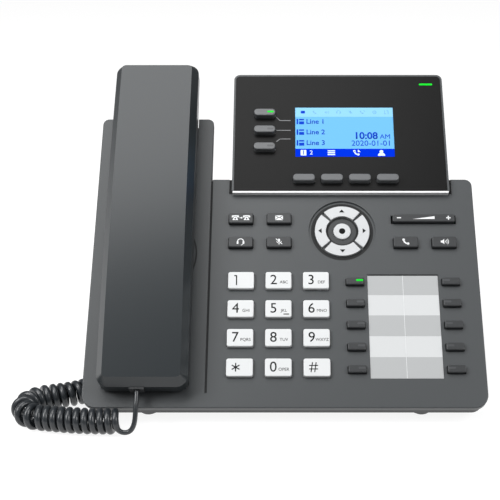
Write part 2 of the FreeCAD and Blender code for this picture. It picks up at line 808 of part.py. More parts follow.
glass_y = (window_y[0] + d.panel_clearance, window_y[1] - d.panel_clearance)
block(module, "glass", glass_x, glass_y, (head_front - d.overrun, d.head_rise - d.screen_recess))

# Keys.
for key in face_keys:
    key_cap(*key, seat=-d.plate, base=dim(0))
for key in display_keys:
    key_cap(*key, seat=head_front, base=d.head_rise)
rocker = piece("volume_rocker")
rocker_x, rocker_y = around(d.volume_x, d.volume_width), around(upper_row, d.volume_height)
rocker_z = (-d.plate - d.key_flange_thickness, d.function_rise)
block(rocker, "cap", rocker_x, rocker_y, rocker_z)
soften(rocker, "cap_corners", at_corner(corners_of(rocker_x, rocker_y)), d.function_corner)
soften(rocker, "cap_top", at_level(d.function_rise), d.key_top_round)
pivot_x = around(d.volume_x, d.volume_pivot)
pivot_y = around(upper_row, d.volume_height + d.key_flange * 2)
pivot_z = (rocker_z[0], -d.plate - d.key_clearance)
block(rocker, "pivot_flange", pivot_x, pivot_y, pivot_z)
nav_seat = -d.nav_floor
sector = 90 - d.nav_gap_angle
for number, name in enumerate(("right", "up", "left", "down")):
    arrow = piece(f"nav_{name}_key")
    start = d.nav_gap_angle / 2 + 90 * number - 45
    foot = nav_seat - d.key_flange_thickness
    drum(arrow, "pad", nav, d.nav_outer, (foot, -d.nav_depth + d.nav_rise), angle=sector, turn=start)
    drum(arrow, "flange", nav, d.nav_outer + d.key_flange, (foot, nav_seat), angle=sector, turn=start)
    drum(arrow, "hub_gap", nav, d.nav_inner, (foot - d.overrun, d.nav_rise + d.overrun), add=False)
select = piece("nav_select_key")
select_foot = nav_seat - d.key_flange_thickness
drum(select, "button", nav, d.select_radius, (select_foot, -d.nav_depth + d.select_rise))
soften(select, "button_top", at_level(-d.nav_depth + d.select_rise), d.key_top_round)
drum(select, "flange", nav, d.select_radius + d.key_flange, (select_foot, nav_seat))

# Card, mat, board, loudspeaker and hook switch.
label = piece("label_card")
block(label, "card", *card, (-d.card_pocket, -d.card_pocket + d.card_thickness))
mat = piece("key_mat")
block(mat, "sheet", (-d.mat_left, d.mat_right), (d.mat_start, d.mat_end), (-d.board_top, -d.mat_top))
dome_height = d.mat_top - d.plate - d.key_flange_thickness - d.key_travel - d.dome_play
for name, x, y, width, height, rise, corner in face_keys:
    radius = min(d.dome_radius, height / 2, key=lambda size: size.value)
    drum(mat, f"{name}_dome", (x, y), radius, (-d.mat_top, -d.mat_top + dome_height))
board = piece("main_board")
board_z = (-board_bottom, -d.board_top)
block(board, "plate", (-d.board_left, d.board_right), (d.board_start, d.board_end), board_z)
jack_x = (-(d.hump_left - d.tray_wall), -(d.hump_left - d.tray_wall) + d.jack_block_depth)
jack_block_y = around(d.jack_y, d.jack_block)
tongue_x = (jack_x[0] + d.overrun, -d.board_left + d.overrun)
block(board, "tongue", tongue_x, jack_block_y, board_z)
jack_block_z = (-d.jack_z - d.plug_thickness / 2 - d.socket_back, -board_bottom)
block(board, "jack_block", jack_x, jack_block_y, jack_block_z)
first_socket, last_socket = around(d.network_x, d.network_width), around(d.headset_x, d.headset_width)
socket_x = (first_socket[0] - d.socket_border, last_socket[1] + d.socket_border)
socket_y = (rear_wall - d.tray_wall - d.socket_depth, rear_wall - d.tray_wall)
socket_z = (socket_base, socket_base + d.socket_height)
block(board, "socket_block", socket_x, socket_y, socket_z, upright=True)
riser_y = around(d.hump_floor_rear, d.riser_width)
block(board, "riser", socket_x, riser_y, (-board_bottom - d.riser_height, -board_bottom))
for name, x, width, height in sockets:
    depth = (socket_y[0] + d.socket_back, socket_y[1] + d.overrun)
    block(board, f"{name}_socket", around(x, width), depth, around(socket_middle, height), False, True)
plug_room = (jack_x[0] - d.overrun, jack_x[0] + d.plug_inside - d.tray_wall + d.plug_clearance)
block(board, "jack_socket", plug_room, jack_y, jack_z, add=False)
through_board = (-board_bottom - d.overrun, -d.board_top + d.overrun)
bores(board, "screw_holes", board_screws, d.screw_hole, through_board)
speaker = piece("loudspeaker")
drum(speaker, "flange", grille, d.speaker_flange, (-d.plate - d.speaker_flange_thickness, -d.plate))
drum(speaker, "magnet", grille, d.speaker_body, (-d.plate - d.speaker_depth, -d.plate))
cone_z = (-d.plate - d.cone_rim, -d.plate + d.overrun)
drum(speaker, "cone", grille, d.speaker_body - d.cone_rim, cone_z, add=False)

# Handset: its ends follow the wells, its parting face runs straight from the mouth end to the ear end.
handset_x = around(cradle_x, d.handset_width)
length = d.handset_end - d.handset_start


def parting(y):
    return d.parting_mouth + (d.parting_ear - d.parting_mouth) * (y - d.handset_start) / length


outer = piece("handset_outer_shell")
outer_outline = (
    (d.handset_start, d.handset_mouth_height),
    (d.handset_end, d.handset_ear_height),
    (d.handset_end, d.parting_ear),
    (d.handset_start, d.parting_mouth),
)
prism(outer, "back", outer_outline, handset_x, arc=(0, d.handset_top_radius))


def standing(edge):
    ends = [vertex.Point for vertex in edge.Vertexes]
    return len(ends) == 2 and (ends[0] - ends[1]).cross(Vector(0, 0, 1)).Length < 0.001


soften(outer, "end_corners", standing, d.handset_corner)
doc.recompute()
rounded = outer.Tip
crown = max(range(len(rounded.Shape.Faces)), key=lambda index: rounded.Shape.Faces[index].CenterOfMass.z)
bevel = feature(outer, "PartDesign::Chamfer", "bevel")
bevel.Base = (rounded, [f"Face{crown + 1}"])
bevel.ChamferType = "Two distances"
bevel.FlipDirection = False
bind(bevel, "Size", d.handset_bevel_in)
bind(bevel, "Size2", d.handset_bevel_down)
room_start, room_end = d.handset_start + d.handset_wall, d.handset_end - d.handset_wall
outer_room = (
    (room_start, d.handset_mouth_height - d.handset_roof),
    (room_end, d.handset_ear_height - d.handset_roof),
    (room_end, parting(room_end) - d.overrun),
    (room_start, parting(room_start) - d.overrun),
)
outer_room_x = (handset_x[0] + d.handset_wall, handset_x[1] - d.handset_wall)
prism(outer, "room", outer_room, outer_room_x, add=False, arc=(0, d.handset_top_radius))
plug_x = around(-d.handset_plug_x, d.plug_width)
plug_z = around(d.handset_plug_z, d.plug_thickness)
mouth_hole_x = around(-d.handset_plug_x, d.plug_width + plug_gap)
mouth_hole_z = around(d.handset_plug_z, d.plug_thickness + plug_gap)
mouth_hole_y = (d.handset_start - d.overrun, room_start + d.overrun)
block(outer, "plug_hole", mouth_hole_x, mouth_hole_y, mouth_hole_z, add=False)

inner = piece("handset_inner_shell")
mouth_cup = (d.mouth_well_start + d.cup_inset, d.mouth_well_end - d.cup_inset)
ear_cup = (d.ear_well_start + d.cup_inset, d.ear_cup_end)
inner_start, inner_end = d.handset_start + d.parting_step, d.handset_end - d.parting_step
inner_outline = (
    (inner_start, parting(inner_start)),
    (mouth_cup[0] - d.cup_draft, d.cup_step),
    (mouth_cup[0], -d.mouth_well_depth),
    (mouth_cup[1], -d.mouth_well_depth),
    (mouth_cup[1] + d.cup_draft, d.cup_step),
    (d.grip_mouth, d.grip_mouth_height),
    (d.grip_ear, d.grip_ear_height),
    (ear_cup[0] - d.cup_draft, d.cup_step),
    (ear_cup[0], -d.ear_well_depth),
    (ear_cup[1], -d.ear_well_depth),
    (inner_end, parting(inner_end)),
)
cup_x = around(cradle_x, d.cup_width)
prism(inner, "front", inner_outline, cup_x)
inner_x = (cup_x[0] + d.cup_wall, cup_x[1] - d.cup_wall)
mouth_room = (mouth_cup[0] + d.cup_wall, mouth_cup[1] - d.cup_wall)
ear_room = (ear_cup[0] + d.cup_wall, ear_cup[1] - d.cup_wall)
mouth_floor = (-d.mouth_well_depth, -d.mouth_well_depth + d.cup_wall)
ear_floor = (-d.ear_well_depth, -d.ear_well_depth + d.cup_wall)
block(inner, "mouth_room", inner_x, mouth_room, (mouth_floor[1], d.parting_ear), add=False)
block(inner, "ear_room", inner_x, ear_room, (ear_floor[1], d.parting_ear + d.overrun), add=False)
ear_middle = (cradle_x, (ear_cup[0] + ear_cup[1]) / 2)
mouth_middle = (cradle_x, (mouth_cup[0] + mouth_cup[1]) / 2)
ear_holes = [ear_middle]
for step in range(6):
    angle = math.radians(60 * step)
    reach = d.ear_hole_ring
    ear_holes.append((ear_middle[0] + reach * math.cos(angle), ear_middle[1] + reach * math.sin(angle)))
bores(inner, "ear_holes", ear_holes, d.ear_hole, (ear_floor[0] - d.overrun, ear_floor[1] + d.overrun))
mouth_holes = [(cradle_x + d.mouth_hole_pitch * step, mouth_middle[1]) for step in (-1, 0, 1)]
through_mouth = (mouth_floor[0] - d.overrun, mouth_floor[1] + d.overrun)
bores(inner, "mouth_holes", mouth_holes, d.ear_hole, through_mouth)
capsules = piece("handset_capsules")
receiver = (ear_floor[1], ear_floor[1] + d.receiver_thickness)
microphone = (mouth_floor[1], mouth_floor[1] + d.microphone_thickness)
drum(capsules, "receiver", ear_middle, d.receiver_radius, receiver)
drum(capsules, "microphone", mouth_middle, d.microphone_radius, microphone)
plug_end = d.handset_start - d.handset_plug_outside
handset_plug = piece("handset_plug")
block(handset_plug, "plug", plug_x, (plug_end, d.handset_start + d.handset_plug_inside), plug_z)
base_plug = piece("base_plug")
base_plug_end = -(d.hump_left + d.plug_outside)
plug_y, base_plug_z = around(d.jack_y, d.plug_width), around(-d.jack_z, d.plug_thickness)
block(base_plug, "plug", (base_plug_end, -d.hump_left + d.plug_inside), plug_y, base_plug_z)
plunger = piece("hook_switch")
grip_slope = (d.grip_ear_height - d.grip_mouth_height) / (d.grip_ear - d.grip_mouth)
hook_top = d.grip_mouth_height + grip_slope * (d.hook_y - d.hook_radius - d.grip_mouth)
hook_flange_top = -d.plate - d.hook_travel - d.hook_clearance
drum(plunger, "button", hook, d.hook_radius, (hook_flange_top, hook_top))
drum(plunger, "flange", hook, d.hook_flange, (hook_flange_top - d.hook_flange_thickness, hook_flange_top))

# Screws, stand and feet.
screws = piece("cover_screws")
head_seat = -d.base_depth + d.screw_bore_depth
for number, (x, y) in enumerate(all_screws):
    drum(screws, f"head_{number + 1}", (x, y), d.screw_head, (head_seat - d.screw_head_height, head_seat))
    shank = (head_seat - d.screw_head_height / 2, -d.screw_tip)
    drum(screws, f"shank_{number + 1}", (x, y), d.screw_radius, shank)
stand = piece("desk_stand", tilted=False)
stand_x = (-d.stand_left, d.stand_right)
plate_front = d.hump_floor_rear - d.stand_plate_run
mount = feature(stand, "PartDesign::AdditiveBox", "mounting_plate")
bind(mount, "Length", stand_x[1] - stand_x[0])
bind(mount, "Width", d.stand_plate_run)
bind(mount, "Height", d.stand_plate)
mount_z = -(d.hump_depth + d.stand_plate)
place(mount, stand_x[0], plate_front * level - mount_z * slope,
      d.front_height + plate_front * slope + mount_z * level, d.tilt)
toe_top = d.pad_thickness + d.stand_toe_thickness
toe_middle = d.pad_thickness + d.stand_toe_thickness / 2
leg_outline = (
    (rear_wall + d.overrun - d.leg_root, hump_foot - d.stand_plate - d.leg_drop),
    (rear_wall + d.overrun, hump_foot - d.stand_plate),
    (d.stand_toe_rear - d.leg_end_rear, toe_middle),
    (d.stand_toe_rear - d.leg_end_front, toe_middle),
)
prism(stand, "leg", leg_outline, stand_x)
toe_y = (d.stand_toe_front, d.stand_toe_rear)
block(stand, "toe", stand_x, toe_y, (d.pad_thickness, toe_top))
feet = piece("rubber_feet")
for side, x in (("left", -d.foot_x), ("right", d.foot_x)):
    drum(feet, f"front_{side}", (x, d.foot_y), d.foot_radius, (-d.foot_end, -d.foot_boss_end))
middle_x = (d.stand_right - d.stand_left) / 2
for side, x in (("left", middle_x - d.pad_x), ("right", middle_x + d.pad_x)):
    pad_y = (d.stand_toe_front + d.pad_inset, d.stand_toe_rear - d.pad_inset)
    block(feet, f"rear_{side}", around(x, d.pad_width), pad_y, (0, d.pad_thickness), upright=True)
desk_x = (-half_width, half_width)
under_feet = (-d.foot_end, 0)
block(feet, "desk_level", desk_x, (0, d.foot_end * 2), under_feet, add=False, upright=True)
doc.recompute()

# Curly cord: from the handset's plug down to the desk, curled along its lay, then up to the plug at the base.
wire = d.wire_diameter.value
coil_radius = (d.coil_diameter - d.wire_diameter).value / 2
depth_shift = origin_depth.value
COIL_HEIGHT = d.coil_diameter.value / 2
LEAD_TO_COIL = [(-75.8, -7.2, 13.6), (-76.5, -9.9, 7.6), (-81.2, -10.5, 1.95)]
COIL_AXIS = [
    (-85.5, -5.0), (-127.4, -5.0), (-136.0, 3.6), (-136.0, 15.8), (-127.4, 24.4),
    (-112.0, 25.5), (-100.0, 33.0), (-93.0, 47.0), (-90.0, 64.0), (-89.0, 92.0),
]
LEAD_TO_BASE = [(-93.4, 94.5, 18.0), (-90.5, 95.5, 36.0), (-85.0, 89.0, 53.0), (-76.0, 83.0, 63.5)]
START_PHASE = math.pi / 2


def shifted(point):
    return Vector(point[0], point[1] - depth_shift, point[2])


def rounded_route(points):
    """Runs and arcs through flat points: start, heading, bend per millimetre and length of each stretch."""
    points = [Vector(x, y, 0) for x, y in points]
    runs = [after - before for before, after in zip(points, points[1:])]
    cuts = [0.0]
    bends = []
    for before, after in zip(runs, runs[1:]):
        turn = math.atan2(before.x * after.y - before.y * after.x, before.dot(after))
        cuts.append(0.45 * min(before.Length, after.Length))
        bends.append(turn)
    cuts.append(0.0)
    stretches = []
    for index, run in enumerate(runs):
        heading = run / run.Length
        straight = run.Length - cuts[index] - cuts[index + 1]
        stretches.append((points[index] + heading * cuts[index], heading, 0.0, straight))
        if index < len(bends):
            radius = cuts[index + 1] / math.tan(abs(bends[index]) / 2)
            bend = math.copysign(1 / radius, bends[index])
            start = points[index + 1] - heading * cuts[index + 1]
            stretches.append((start, heading, bend, abs(bends[index]) * radius))
    return stretches


def along(stretch, distance):
    start, heading, bend, length = stretch
    side = Vector(-heading.y, heading.x, 0)
    if not bend:
        return start + heading * distance, heading
    angle = bend * distance
    offset = heading * (math.sin(angle) / bend) + side * ((1 - math.cos(angle)) / bend)
    return start + offset, heading * math.cos(angle) + side * math.sin(angle)


def coil_points(stretches):
    """Points each half turn round the coil's axis, with the wider spacing that each bend needs."""
    steps = 48
    points = []
    phase = START_PHASE
    turn = 2 * math.pi / steps
    owed = 0.0
    for stretch in stretches:
        tight = 1 - coil_radius * abs(stretch[2])
        pitch = (wire + d.turn_gap.value) / tight
        advance = pitch / steps
        travelled = owed
        while travelled < stretch[3]:
            middle, heading = along(stretch, travelled)
            side = heading.cross(Vector(0, 0, 1))
            offset = Vector(0, 0, -math.cos(phase)) - side * math.sin(phase)
            spin = Vector(0, 0, math.sin(phase)) - side * math.cos(phase)
            place_on = middle + offset * coil_radius + Vector(0, -depth_shift, COIL_HEIGHT)
            reach = coil_radius * turn
            stretch_factor = 1 + side.dot(offset) * coil_radius * stretch[2]
            tangent = (spin * reach + heading * advance * stretch_factor).normalize()
            points.append((place_on, tangent, phase))
            phase += turn
            travelled += advance
        owed = travelled - stretch[3]
    return points


def tangent_arc(start, heading, end):
    """The arc from a point along a heading to another point, with its radius and length."""
    chord = end - start
    straight = chord / chord.Length
    aside = heading - straight * heading.dot(straight)
    angle = math.atan2(aside.Length, heading.dot(straight))
    if angle < 0.0005:
        return Part.LineSegment(start, end).toShape(), float("inf"), chord.Length
    aside.normalize()
    crest = (start + end) / 2 + aside * (chord.Length / 2 * math.tan(angle / 2))
    radius = chord.Length / 2 / math.sin(angle)
    return Part.Arc(start, crest, end).toShape(), radius, radius * angle * 2


def biarc(start, heading, end, leaving):
    """Two arcs that meet smoothly between two points with given headings."""
    span = end - start
    both = heading + leaving
    spread = 1 - heading.dot(leaving)
    if spread < 1e-6:
        reach = span.dot(span) / (4 * span.dot(leaving))
    else:
        lean = span.dot(both)
        reach = (math.sqrt(lean ** 2 + 2 * spread * span.dot(span)) - lean) / (2 * spread)
    joint = (start + end + (heading - leaving) * reach) / 2
    first = tangent_arc(start, heading, joint)
    second = tangent_arc(end, -leaving, joint)
    return first, second


plug_face = Vector(-d.handset_plug_x.value, plug_end.value, d.handset_plug_z.value)
handset_exit = handset_plug.Placement.multVec(plug_face)
handset_way = handset_plug.Placement.Rotation.multVec(Vector(0, -1, 0))
jack_face = Vector(base_plug_end.value, d.jack_y.value, -d.jack_z.value)
base_entry = base_plug.Placement.multVec(jack_face)
base_way = Vector(1, 0, 0)
coil = coil_points(rounded_route(COIL_AXIS))
last = max(index for index, item in enumerate(coil) if abs((item[2] - START_PHASE) % (2 * math.pi)) < 0.01)
coil = coil[:last + 1]
turns = (coil[-1][2] - coil[0][2]) / (2 * math.pi)
curls = coil[::24]
straight = d.lead_straight.value
lead_out = [handset_exit, handset_exit + handset_way * straight, *map(shifted, LEAD_TO_COIL)]
lead_in = [*map(shifted, LEAD_TO_BASE), base_entry - base_way * straight, base_entry]
knots = [(lead_out[0], handset_way), (lead_out[1], handset_way)]
chain = lead_out + [curls[0][0]]
for index in range(2, len(lead_out)):
    knots.append((lead_out[index], (chain[index + 1] - chain[index - 1]).normalize()))
knots += [(point, heading) for point, heading, phase in curls]
chain = [curls[-1][0]] + lead_in
for index in range(1, len(lead_in) - 1):
    knots.append((chain[index], (chain[index + 1] - chain[index - 1]).normalize()))
knots += [(lead_in[-2], base_way), (lead_in[-1], base_way)]
edges = []
radii = []
cord_length = 0.0
for (start, heading), (end, leaving) in zip(knots, knots[1:]):
    for edge, radius, stretch in biarc(start, heading, end, leaving):
        edges.append(edge)
        radii.append(radius)
        cord_length += stretch
spine = Part.Wire(Part.__sortEdges__(edges))
section = Part.Wire(Part.Circle(handset_exit, handset_way, wire / 2).toShape())
tube = spine.makePipeShell([section], True, False)
if tube.ShapeType != "Solid":
    tube = tube.Solids[0]
cord = doc.addObject("Part::Feature", "handset_cord")
cord.Label = "handset_cord"
cord.Shape = tube

# Least gap of the cord to itself, on points along its line sorted into cells.
SPACING = 0.5
CELL = 5
trace = spine.discretize(Distance=SPACING)
cells = {}
for index, point in enumerate(trace):
    cells.setdefault(tuple(int(value // CELL) for value in point), []).append(index)
least = float("inf")
for index, point in enumerate(trace):
    home = [int(value // CELL) for value in point]
    for step in itertools.product((-1, 0, 1), repeat=3):
        near = tuple(place + move for place, move in zip(home, step))
        for other in cells.get(near, ()):
            if (other - index) * SPACING > coil_radius * 2:
                least = min(least, (trace[other] - point).Length)
lowest = min(point.z for point in trace) - wire / 2
section_area = math.pi * wire ** 2 / 4
print(f"cord: {turns:.1f} turns, length {cord_length:.1f}, least gap {least - wire:.2f}, lowest {lowest:.2f}")
print(f"cord: tightest radius {min(radii):.2f}")
print(f"cord: volume {tube.Volume:.0f} against {section_area * cord_length:.0f}")

doc.recompute()
pieces = [item for item in doc.Objects if item.TypeId == "PartDesign::Body"] + [cord]
for item in doc.Objects:
    if {"Invalid", "Error"} & set(item.State):
        raise RuntimeError(f"{item.Name} did not build")
os.makedirs("parts", exist_ok=True)
for item in pieces:
    shape = item.Shape
    if shape.isNull() or not shape.isValid():
        raise RuntimeError(f"{item.Label} is not sound")
    shape.exportStep(f"parts/{item.Label}.step")
bounds = FreeCAD.BoundBox()
for item in pieces:
    if item.Label not in ("handset_cord", "handset_plug", "base_plug"):
        bounds.add(item.Shape.optimalBoundingBox(False, False))
print(f"{len(pieces)} pieces, box {bounds}")
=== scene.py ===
import math

import bmesh
import bpy
from mathutils import Matrix, Vector


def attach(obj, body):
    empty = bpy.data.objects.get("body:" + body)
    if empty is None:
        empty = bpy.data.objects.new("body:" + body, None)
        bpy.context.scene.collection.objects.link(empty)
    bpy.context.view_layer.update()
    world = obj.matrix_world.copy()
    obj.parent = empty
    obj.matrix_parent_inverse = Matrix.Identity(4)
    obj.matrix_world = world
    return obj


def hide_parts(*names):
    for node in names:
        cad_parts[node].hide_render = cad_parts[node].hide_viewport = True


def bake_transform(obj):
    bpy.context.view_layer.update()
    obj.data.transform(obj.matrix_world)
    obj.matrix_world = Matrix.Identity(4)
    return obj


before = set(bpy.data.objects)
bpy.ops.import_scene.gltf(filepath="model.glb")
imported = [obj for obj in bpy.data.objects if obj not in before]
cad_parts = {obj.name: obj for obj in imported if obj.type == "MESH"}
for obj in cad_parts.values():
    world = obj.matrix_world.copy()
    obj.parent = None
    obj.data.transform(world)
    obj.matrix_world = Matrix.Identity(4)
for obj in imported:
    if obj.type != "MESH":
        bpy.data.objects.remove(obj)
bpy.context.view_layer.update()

bl_info = {
    "name": "Desk Phone",
    "version": (1, 0, 0),
    "blender": (4, 5, 0),
    "location": "3D View > Sidebar > Phone",
    "description": "Finishes, legends, screen, cord and studio for a desk phone",
    "category": "Object",
}

# Marks and trim are drawn in millimetres on the sloping face: x to the right of its middle, y up along it
# from its front edge, z out of it. FACE takes such a point to the frame, which is in metres.
MM_PER_M = 1000
TILT = math.radians(45)
ORIGIN_DEPTH = 72.15
FRONT_HEIGHT = 11.8
FACE = (Matrix.Scale(1 / MM_PER_M, 4)
        @ Matrix.Translation((0, -ORIGIN_DEPTH, FRONT_HEIGHT))
        @ Matrix.Rotation(TILT, 4, "X"))

# Heights of the surfaces that carry marks.
HEAD_FRONT = 3.2
SCREEN_TOP = 3.0
DIGIT_TOP = 2.2
FUNCTION_TOP = 2.6
MEMORY_TOP = 2.4
DISPLAY_KEY_TOP = 6.9
NAV_TOP = 0.4
NAV_FLOOR = -1.0
SELECT_TOP = 0.0
CARD_TOP = -0.4

# Thickness of printing, more than real ink has, so that it stays clear of what carries it.
INK = 0.06
# Size of a lettering for each millimetre of its capitals' height.
SIZE_PER_CAPITAL = 1.37
LETTER_STEPS = 4
FULL_TURN = 360

# Keys and their places.
DIGITS = ("star", "0", "hash", "7", "8", "9", "4", "5", "6", "1", "2", "3")
DIGIT_COLUMNS = 3
DIGIT_FIRST = (-23.65, 21.2)
DIGIT_PITCH = (20.15, 16.37)
DIGIT_STROKE = 0.6
HASH_STROKE = 0.5
LETTERS = {
    "2": "ABC", "3": "DEF", "4": "GHI", "5": "JKL", "6": "MNO",
    "7": "PQRS", "8": "TUV", "9": "WXYZ", "0": "OPER",
}
FUNCTION_KEYS = {
    "transfer_key": (-24.3, 107.5),
    "message_key": (-3.25, 107.5),
    "headset_key": (-24.3, 93.0),
    "mute_key": (-3.25, 93.0),
    "call_key": (66.05, 93.0),
    "speaker_key": (87.1, 93.0),
}
VOLUME = (76.55, 107.5)
VOLUME_STROKE = 0.65
MEMORY_ROWS = 5
MEMORY_KEYS = [f"memory_key_{side}_{row}" for side in ("left", "right") for row in range(1, MEMORY_ROWS + 1)]
MEMORY_LENS_X = {"left": 40.15, "right": 86.8}
MEMORY_LENS_LOWEST = 20.8
MEMORY_PITCH = 12.36
LINE_NUMBERS = (1, 2, 3)
LINE_LENS_X = -8.3
LINE_LENS_LOWEST = 151.0
LINE_PITCH = 11.15
LINE_KEYS = [f"line_key_{number}" for number in LINE_NUMBERS]
SOFT_KEYS = [f"soft_key_{number}" for number in (1, 2, 3, 4)]
LIT_KEYS = ("memory_key_left_1", "line_key_1")
NAV = (31.5, 100.6)
ARROW_KEYS = [f"nav_{side}_key" for side in ("right", "up", "left", "down")]
ARROW_REACH = 12.1

# Lit area of the screen, and the printed area of the label card.
SCREEN_LEFT, SCREEN_RIGHT = 5.9, 62.2
SCREEN_LOW, SCREEN_HIGH = 145.8, 178.3
STATUS_HEIGHT = 6.2
BAR_HEIGHT = 5.2
CARD_LEFT, CARD_RIGHT = 44.5, 82.6
CARD_LOW, CARD_HIGH = 15.9, 74.4
CARD_ROWS = 5

# Each finish is named for its material and how the surface was made. Its shade is a hex value or the name of
# a colour in the panel. An index of refraction under the material's own stands for a matt coat on the real
# piece, which mirrors little of the studio.
FINISHES = {
    # A spark-eroded mould leaves a fine grain: a soft, even sheen with no sharp reflection. The real grain is
    # about 0.1 mm wide and is drawn coarser, so that it shows.
    "moulded_abs_grey": dict(shade="case", roughness=0.42, grain_mm=0.9, depth=0.1),
    # The same grain in near black and duller: the underside falls back into its own shadow.
    "moulded_abs_dark": dict(shade="underside", roughness=0.5, grain_mm=0.9, depth=0.1),
    # A polished mould: smoother than the base, so the studio shows as a long soft gleam.
    "polished_abs_grey": dict(shade="handset", roughness=0.3),
    # The same polish in white: a thin bright line with a soft gleam.
    "polished_abs_white": dict(shade="#F6F7F7", roughness=0.35),
    # Caps under satin paint: pale, with a broad soft highlight.
    "satin_painted_abs_pale": dict(shade="pale_key", roughness=0.38),
    # Paint with fine aluminium flake under a clear coat: bright, with a small sharp highlight on top.
    "silver_painted_abs": dict(shade="silver", roughness=0.34, coat=0.2),
    # A satin mould: dark caps whose rims catch a thin line of light.
    "satin_moulded_abs_dark": dict(shade="dark_key", roughness=0.4),
    # The same in mid grey and a little glossier: the caps stand off the black panel.
    "satin_moulded_abs_grey": dict(shade="grey_key", roughness=0.35),
    # Clear sheet with black print behind: a deep, even black with a faint, wide reflection.
    "printed_polycarbonate_black": dict(shade="panel", roughness=0.32, ior=1.22),
    # A clear lens with a lamp behind: its green stays bright in shade.
    "lit_polystyrene_green": dict(shade="lamp", roughness=0.3, ior=1.2, glow=0.15),
    # The same lens unlit: dark grey with a small gleam.
    "moulded_polystyrene_grey": dict(shade="#4A4C4E", roughness=0.3),
    # Plugs, hook switch and capsules: black with a slight waxy sheen.
    "moulded_nylon_black": dict(shade="#26282A", roughness=0.4),
    # Rubber of the feet and seals, also used as painted shade in gaps and grooves: dull, with no highlight.
    "moulded_rubber_and_painted_shade_black": dict(shade="#1D1E1F", roughness=0.8),
    # The key mat: pale, soft and nearly matt.
    "moulded_silicone_grey": dict(shade="#8B8D8F", roughness=0.6),
    # A circuit board under lacquer: an even green that looks slightly wet.
    "lacquered_glass_fibre_green": dict(shade="#1F5A37", roughness=0.4),
    # A loudspeaker's cone: matt, with the fibres too fine to see.
    "pressed_paper_black": dict(shade="#202122", roughness=0.7),
    # Screws: bright, cool metal with soft-edged reflections.
    "zinc_plated_steel": dict(shade="#B9BBBD", roughness=0.35, metallic=1.0),
    # A lit liquid-crystal film: its ground glows evenly and hardly mirrors.
    "backlit_film_blue": dict(shade="screen", roughness=0.5, ior=1.05, glow=0.08),
    # The film's top row, nearer to its lamp: the same glow, paler.
    "backlit_film_pale": dict(shade="#8CC8EE", roughness=0.5, ior=1.05, glow=0.08),
    # Switched film in the bar: a deep blue that still lets some light through.
    "backlit_film_deep_blue": dict(shade="screen_bar", roughness=0.5, ior=1.05, glow=0.1),
    # Switched film in the lettering: dark blue that stops the light.
    "switched_film_blue": dict(shade="screen_ink", roughness=0.5, ior=1.05),
    # Film at rest: marks one shade under their ground, so that they only just show.
    "resting_film_blue": dict(shade="#69AEDD", roughness=0.3),
    # Clear film in the bar: the light behind comes through almost white.
    "clear_film_pale": dict(shade="#DCEFFB", roughness=0.3),
    # Screen-printed ink on pale caps: crisp, black and flat.
    "printed_ink_black": dict(shade="#121314", roughness=0.5, ior=1.2),
    # Screen-printed ink on dark caps: bright and flat.
    "printed_ink_white": dict(shade="#ECEEEF", roughness=0.5),
    # Screen-printed ink on the black panel: thin grey lines, flat against its gloss.
    "printed_ink_grey": dict(shade="#8E9092", roughness=0.5),
    # Clay-coated card: an even, matt white.
    "coated_card_white": dict(shade="#D0D2D3", roughness=0.5),
    # Print that has sunk into the card: grey bands a little duller than the bare card.
    "printed_card_grey": dict(shade="card", roughness=0.55),
    # A jacket drawn through a die: smooth and dark, with a clear highlight along each curl.
    "extruded_polyurethane_dark": dict(shade="jacket", roughness=0.36, coat=0.35),
}
COAT_ROUGHNESS = 0.12
GRAIN_DETAIL = 3.0
# Height of a moulded grain as a share of its width.
GRAIN_RISE = 0.25

# Solids that take a finish and nothing else.
COVERS = {
    "moulded_abs_grey": ("base_top_cover", "display_housing"),
    "moulded_abs_dark": ("base_bottom_cover", "desk_stand"),
    "polished_abs_grey": ("handset_outer_shell", "handset_inner_shell"),
    "printed_polycarbonate_black": ("display_panel",),
    "moulded_nylon_black": ("handset_plug", "base_plug", "hook_switch", "handset_capsules"),
    "moulded_rubber_and_painted_shade_black": ("rubber_feet",),
    "moulded_silicone_grey": ("key_mat",),
    "lacquered_glass_fibre_green": ("main_board",),
    "pressed_paper_black": ("loudspeaker",),
    "zinc_plated_steel": ("cover_screws",),
}

# Route of the cord in metres, measured from the middle of the phone at desk level.
CORD_EXIT = (-0.0755, -0.072291, 0.021841)
LEAD_TO_COIL = [
    (-0.0757, -0.0782, 0.0150),
    (-0.0760, -0.0810, 0.0085),
    (-0.0778, -0.0822, 0.0043),
    (-0.0810, -0.0824, 0.0030),
    (-0.0844, -0.0824, 0.0042),
]
COIL_ROUTE = [
    (-0.0855, -0.07715),
    (-0.1000, -0.07700),
    (-0.1120, -0.07560),
    (-0.1215, -0.07390),
    (-0.1299, -0.07260),
    (-0.1360, -0.06685),
    (-0.1360, -0.05815),
    (-0.1299, -0.05200),
    (-0.1210, -0.04960),
    (-0.1120, -0.04665),
    (-0.1000, -0.03915),
    (-0.0930, -0.02515),
    (-0.0900, -0.00815),
    (-0.0890, 0.01985),
]
LEAD_TO_BASE = [
    (-0.0934, 0.02235, 0.0180),
    (-0.0905, 0.02335, 0.0360),
    (-0.0850, 0.01685, 0.0530),
    (-0.0760, 0.01085, 0.0635),
]
CORD_END = (-0.0660, 0.008955, 0.065045)
# Share of a bend's squeeze that the curls make up for by standing wider apart.
FAN = 0.6
TURN_POINTS = 24
# Part of a turn at which the first curl starts, where the straight lead meets it.
FIRST_CURL = 0.25
# Resolution of the splines: fine on the coil's route, coarse on the curls, whose own points lie close.
ROUTE_STEPS = 256
CURL_STEPS = 3

# The studio, in metres, watts and degrees.
FLOOR_HALF = 6
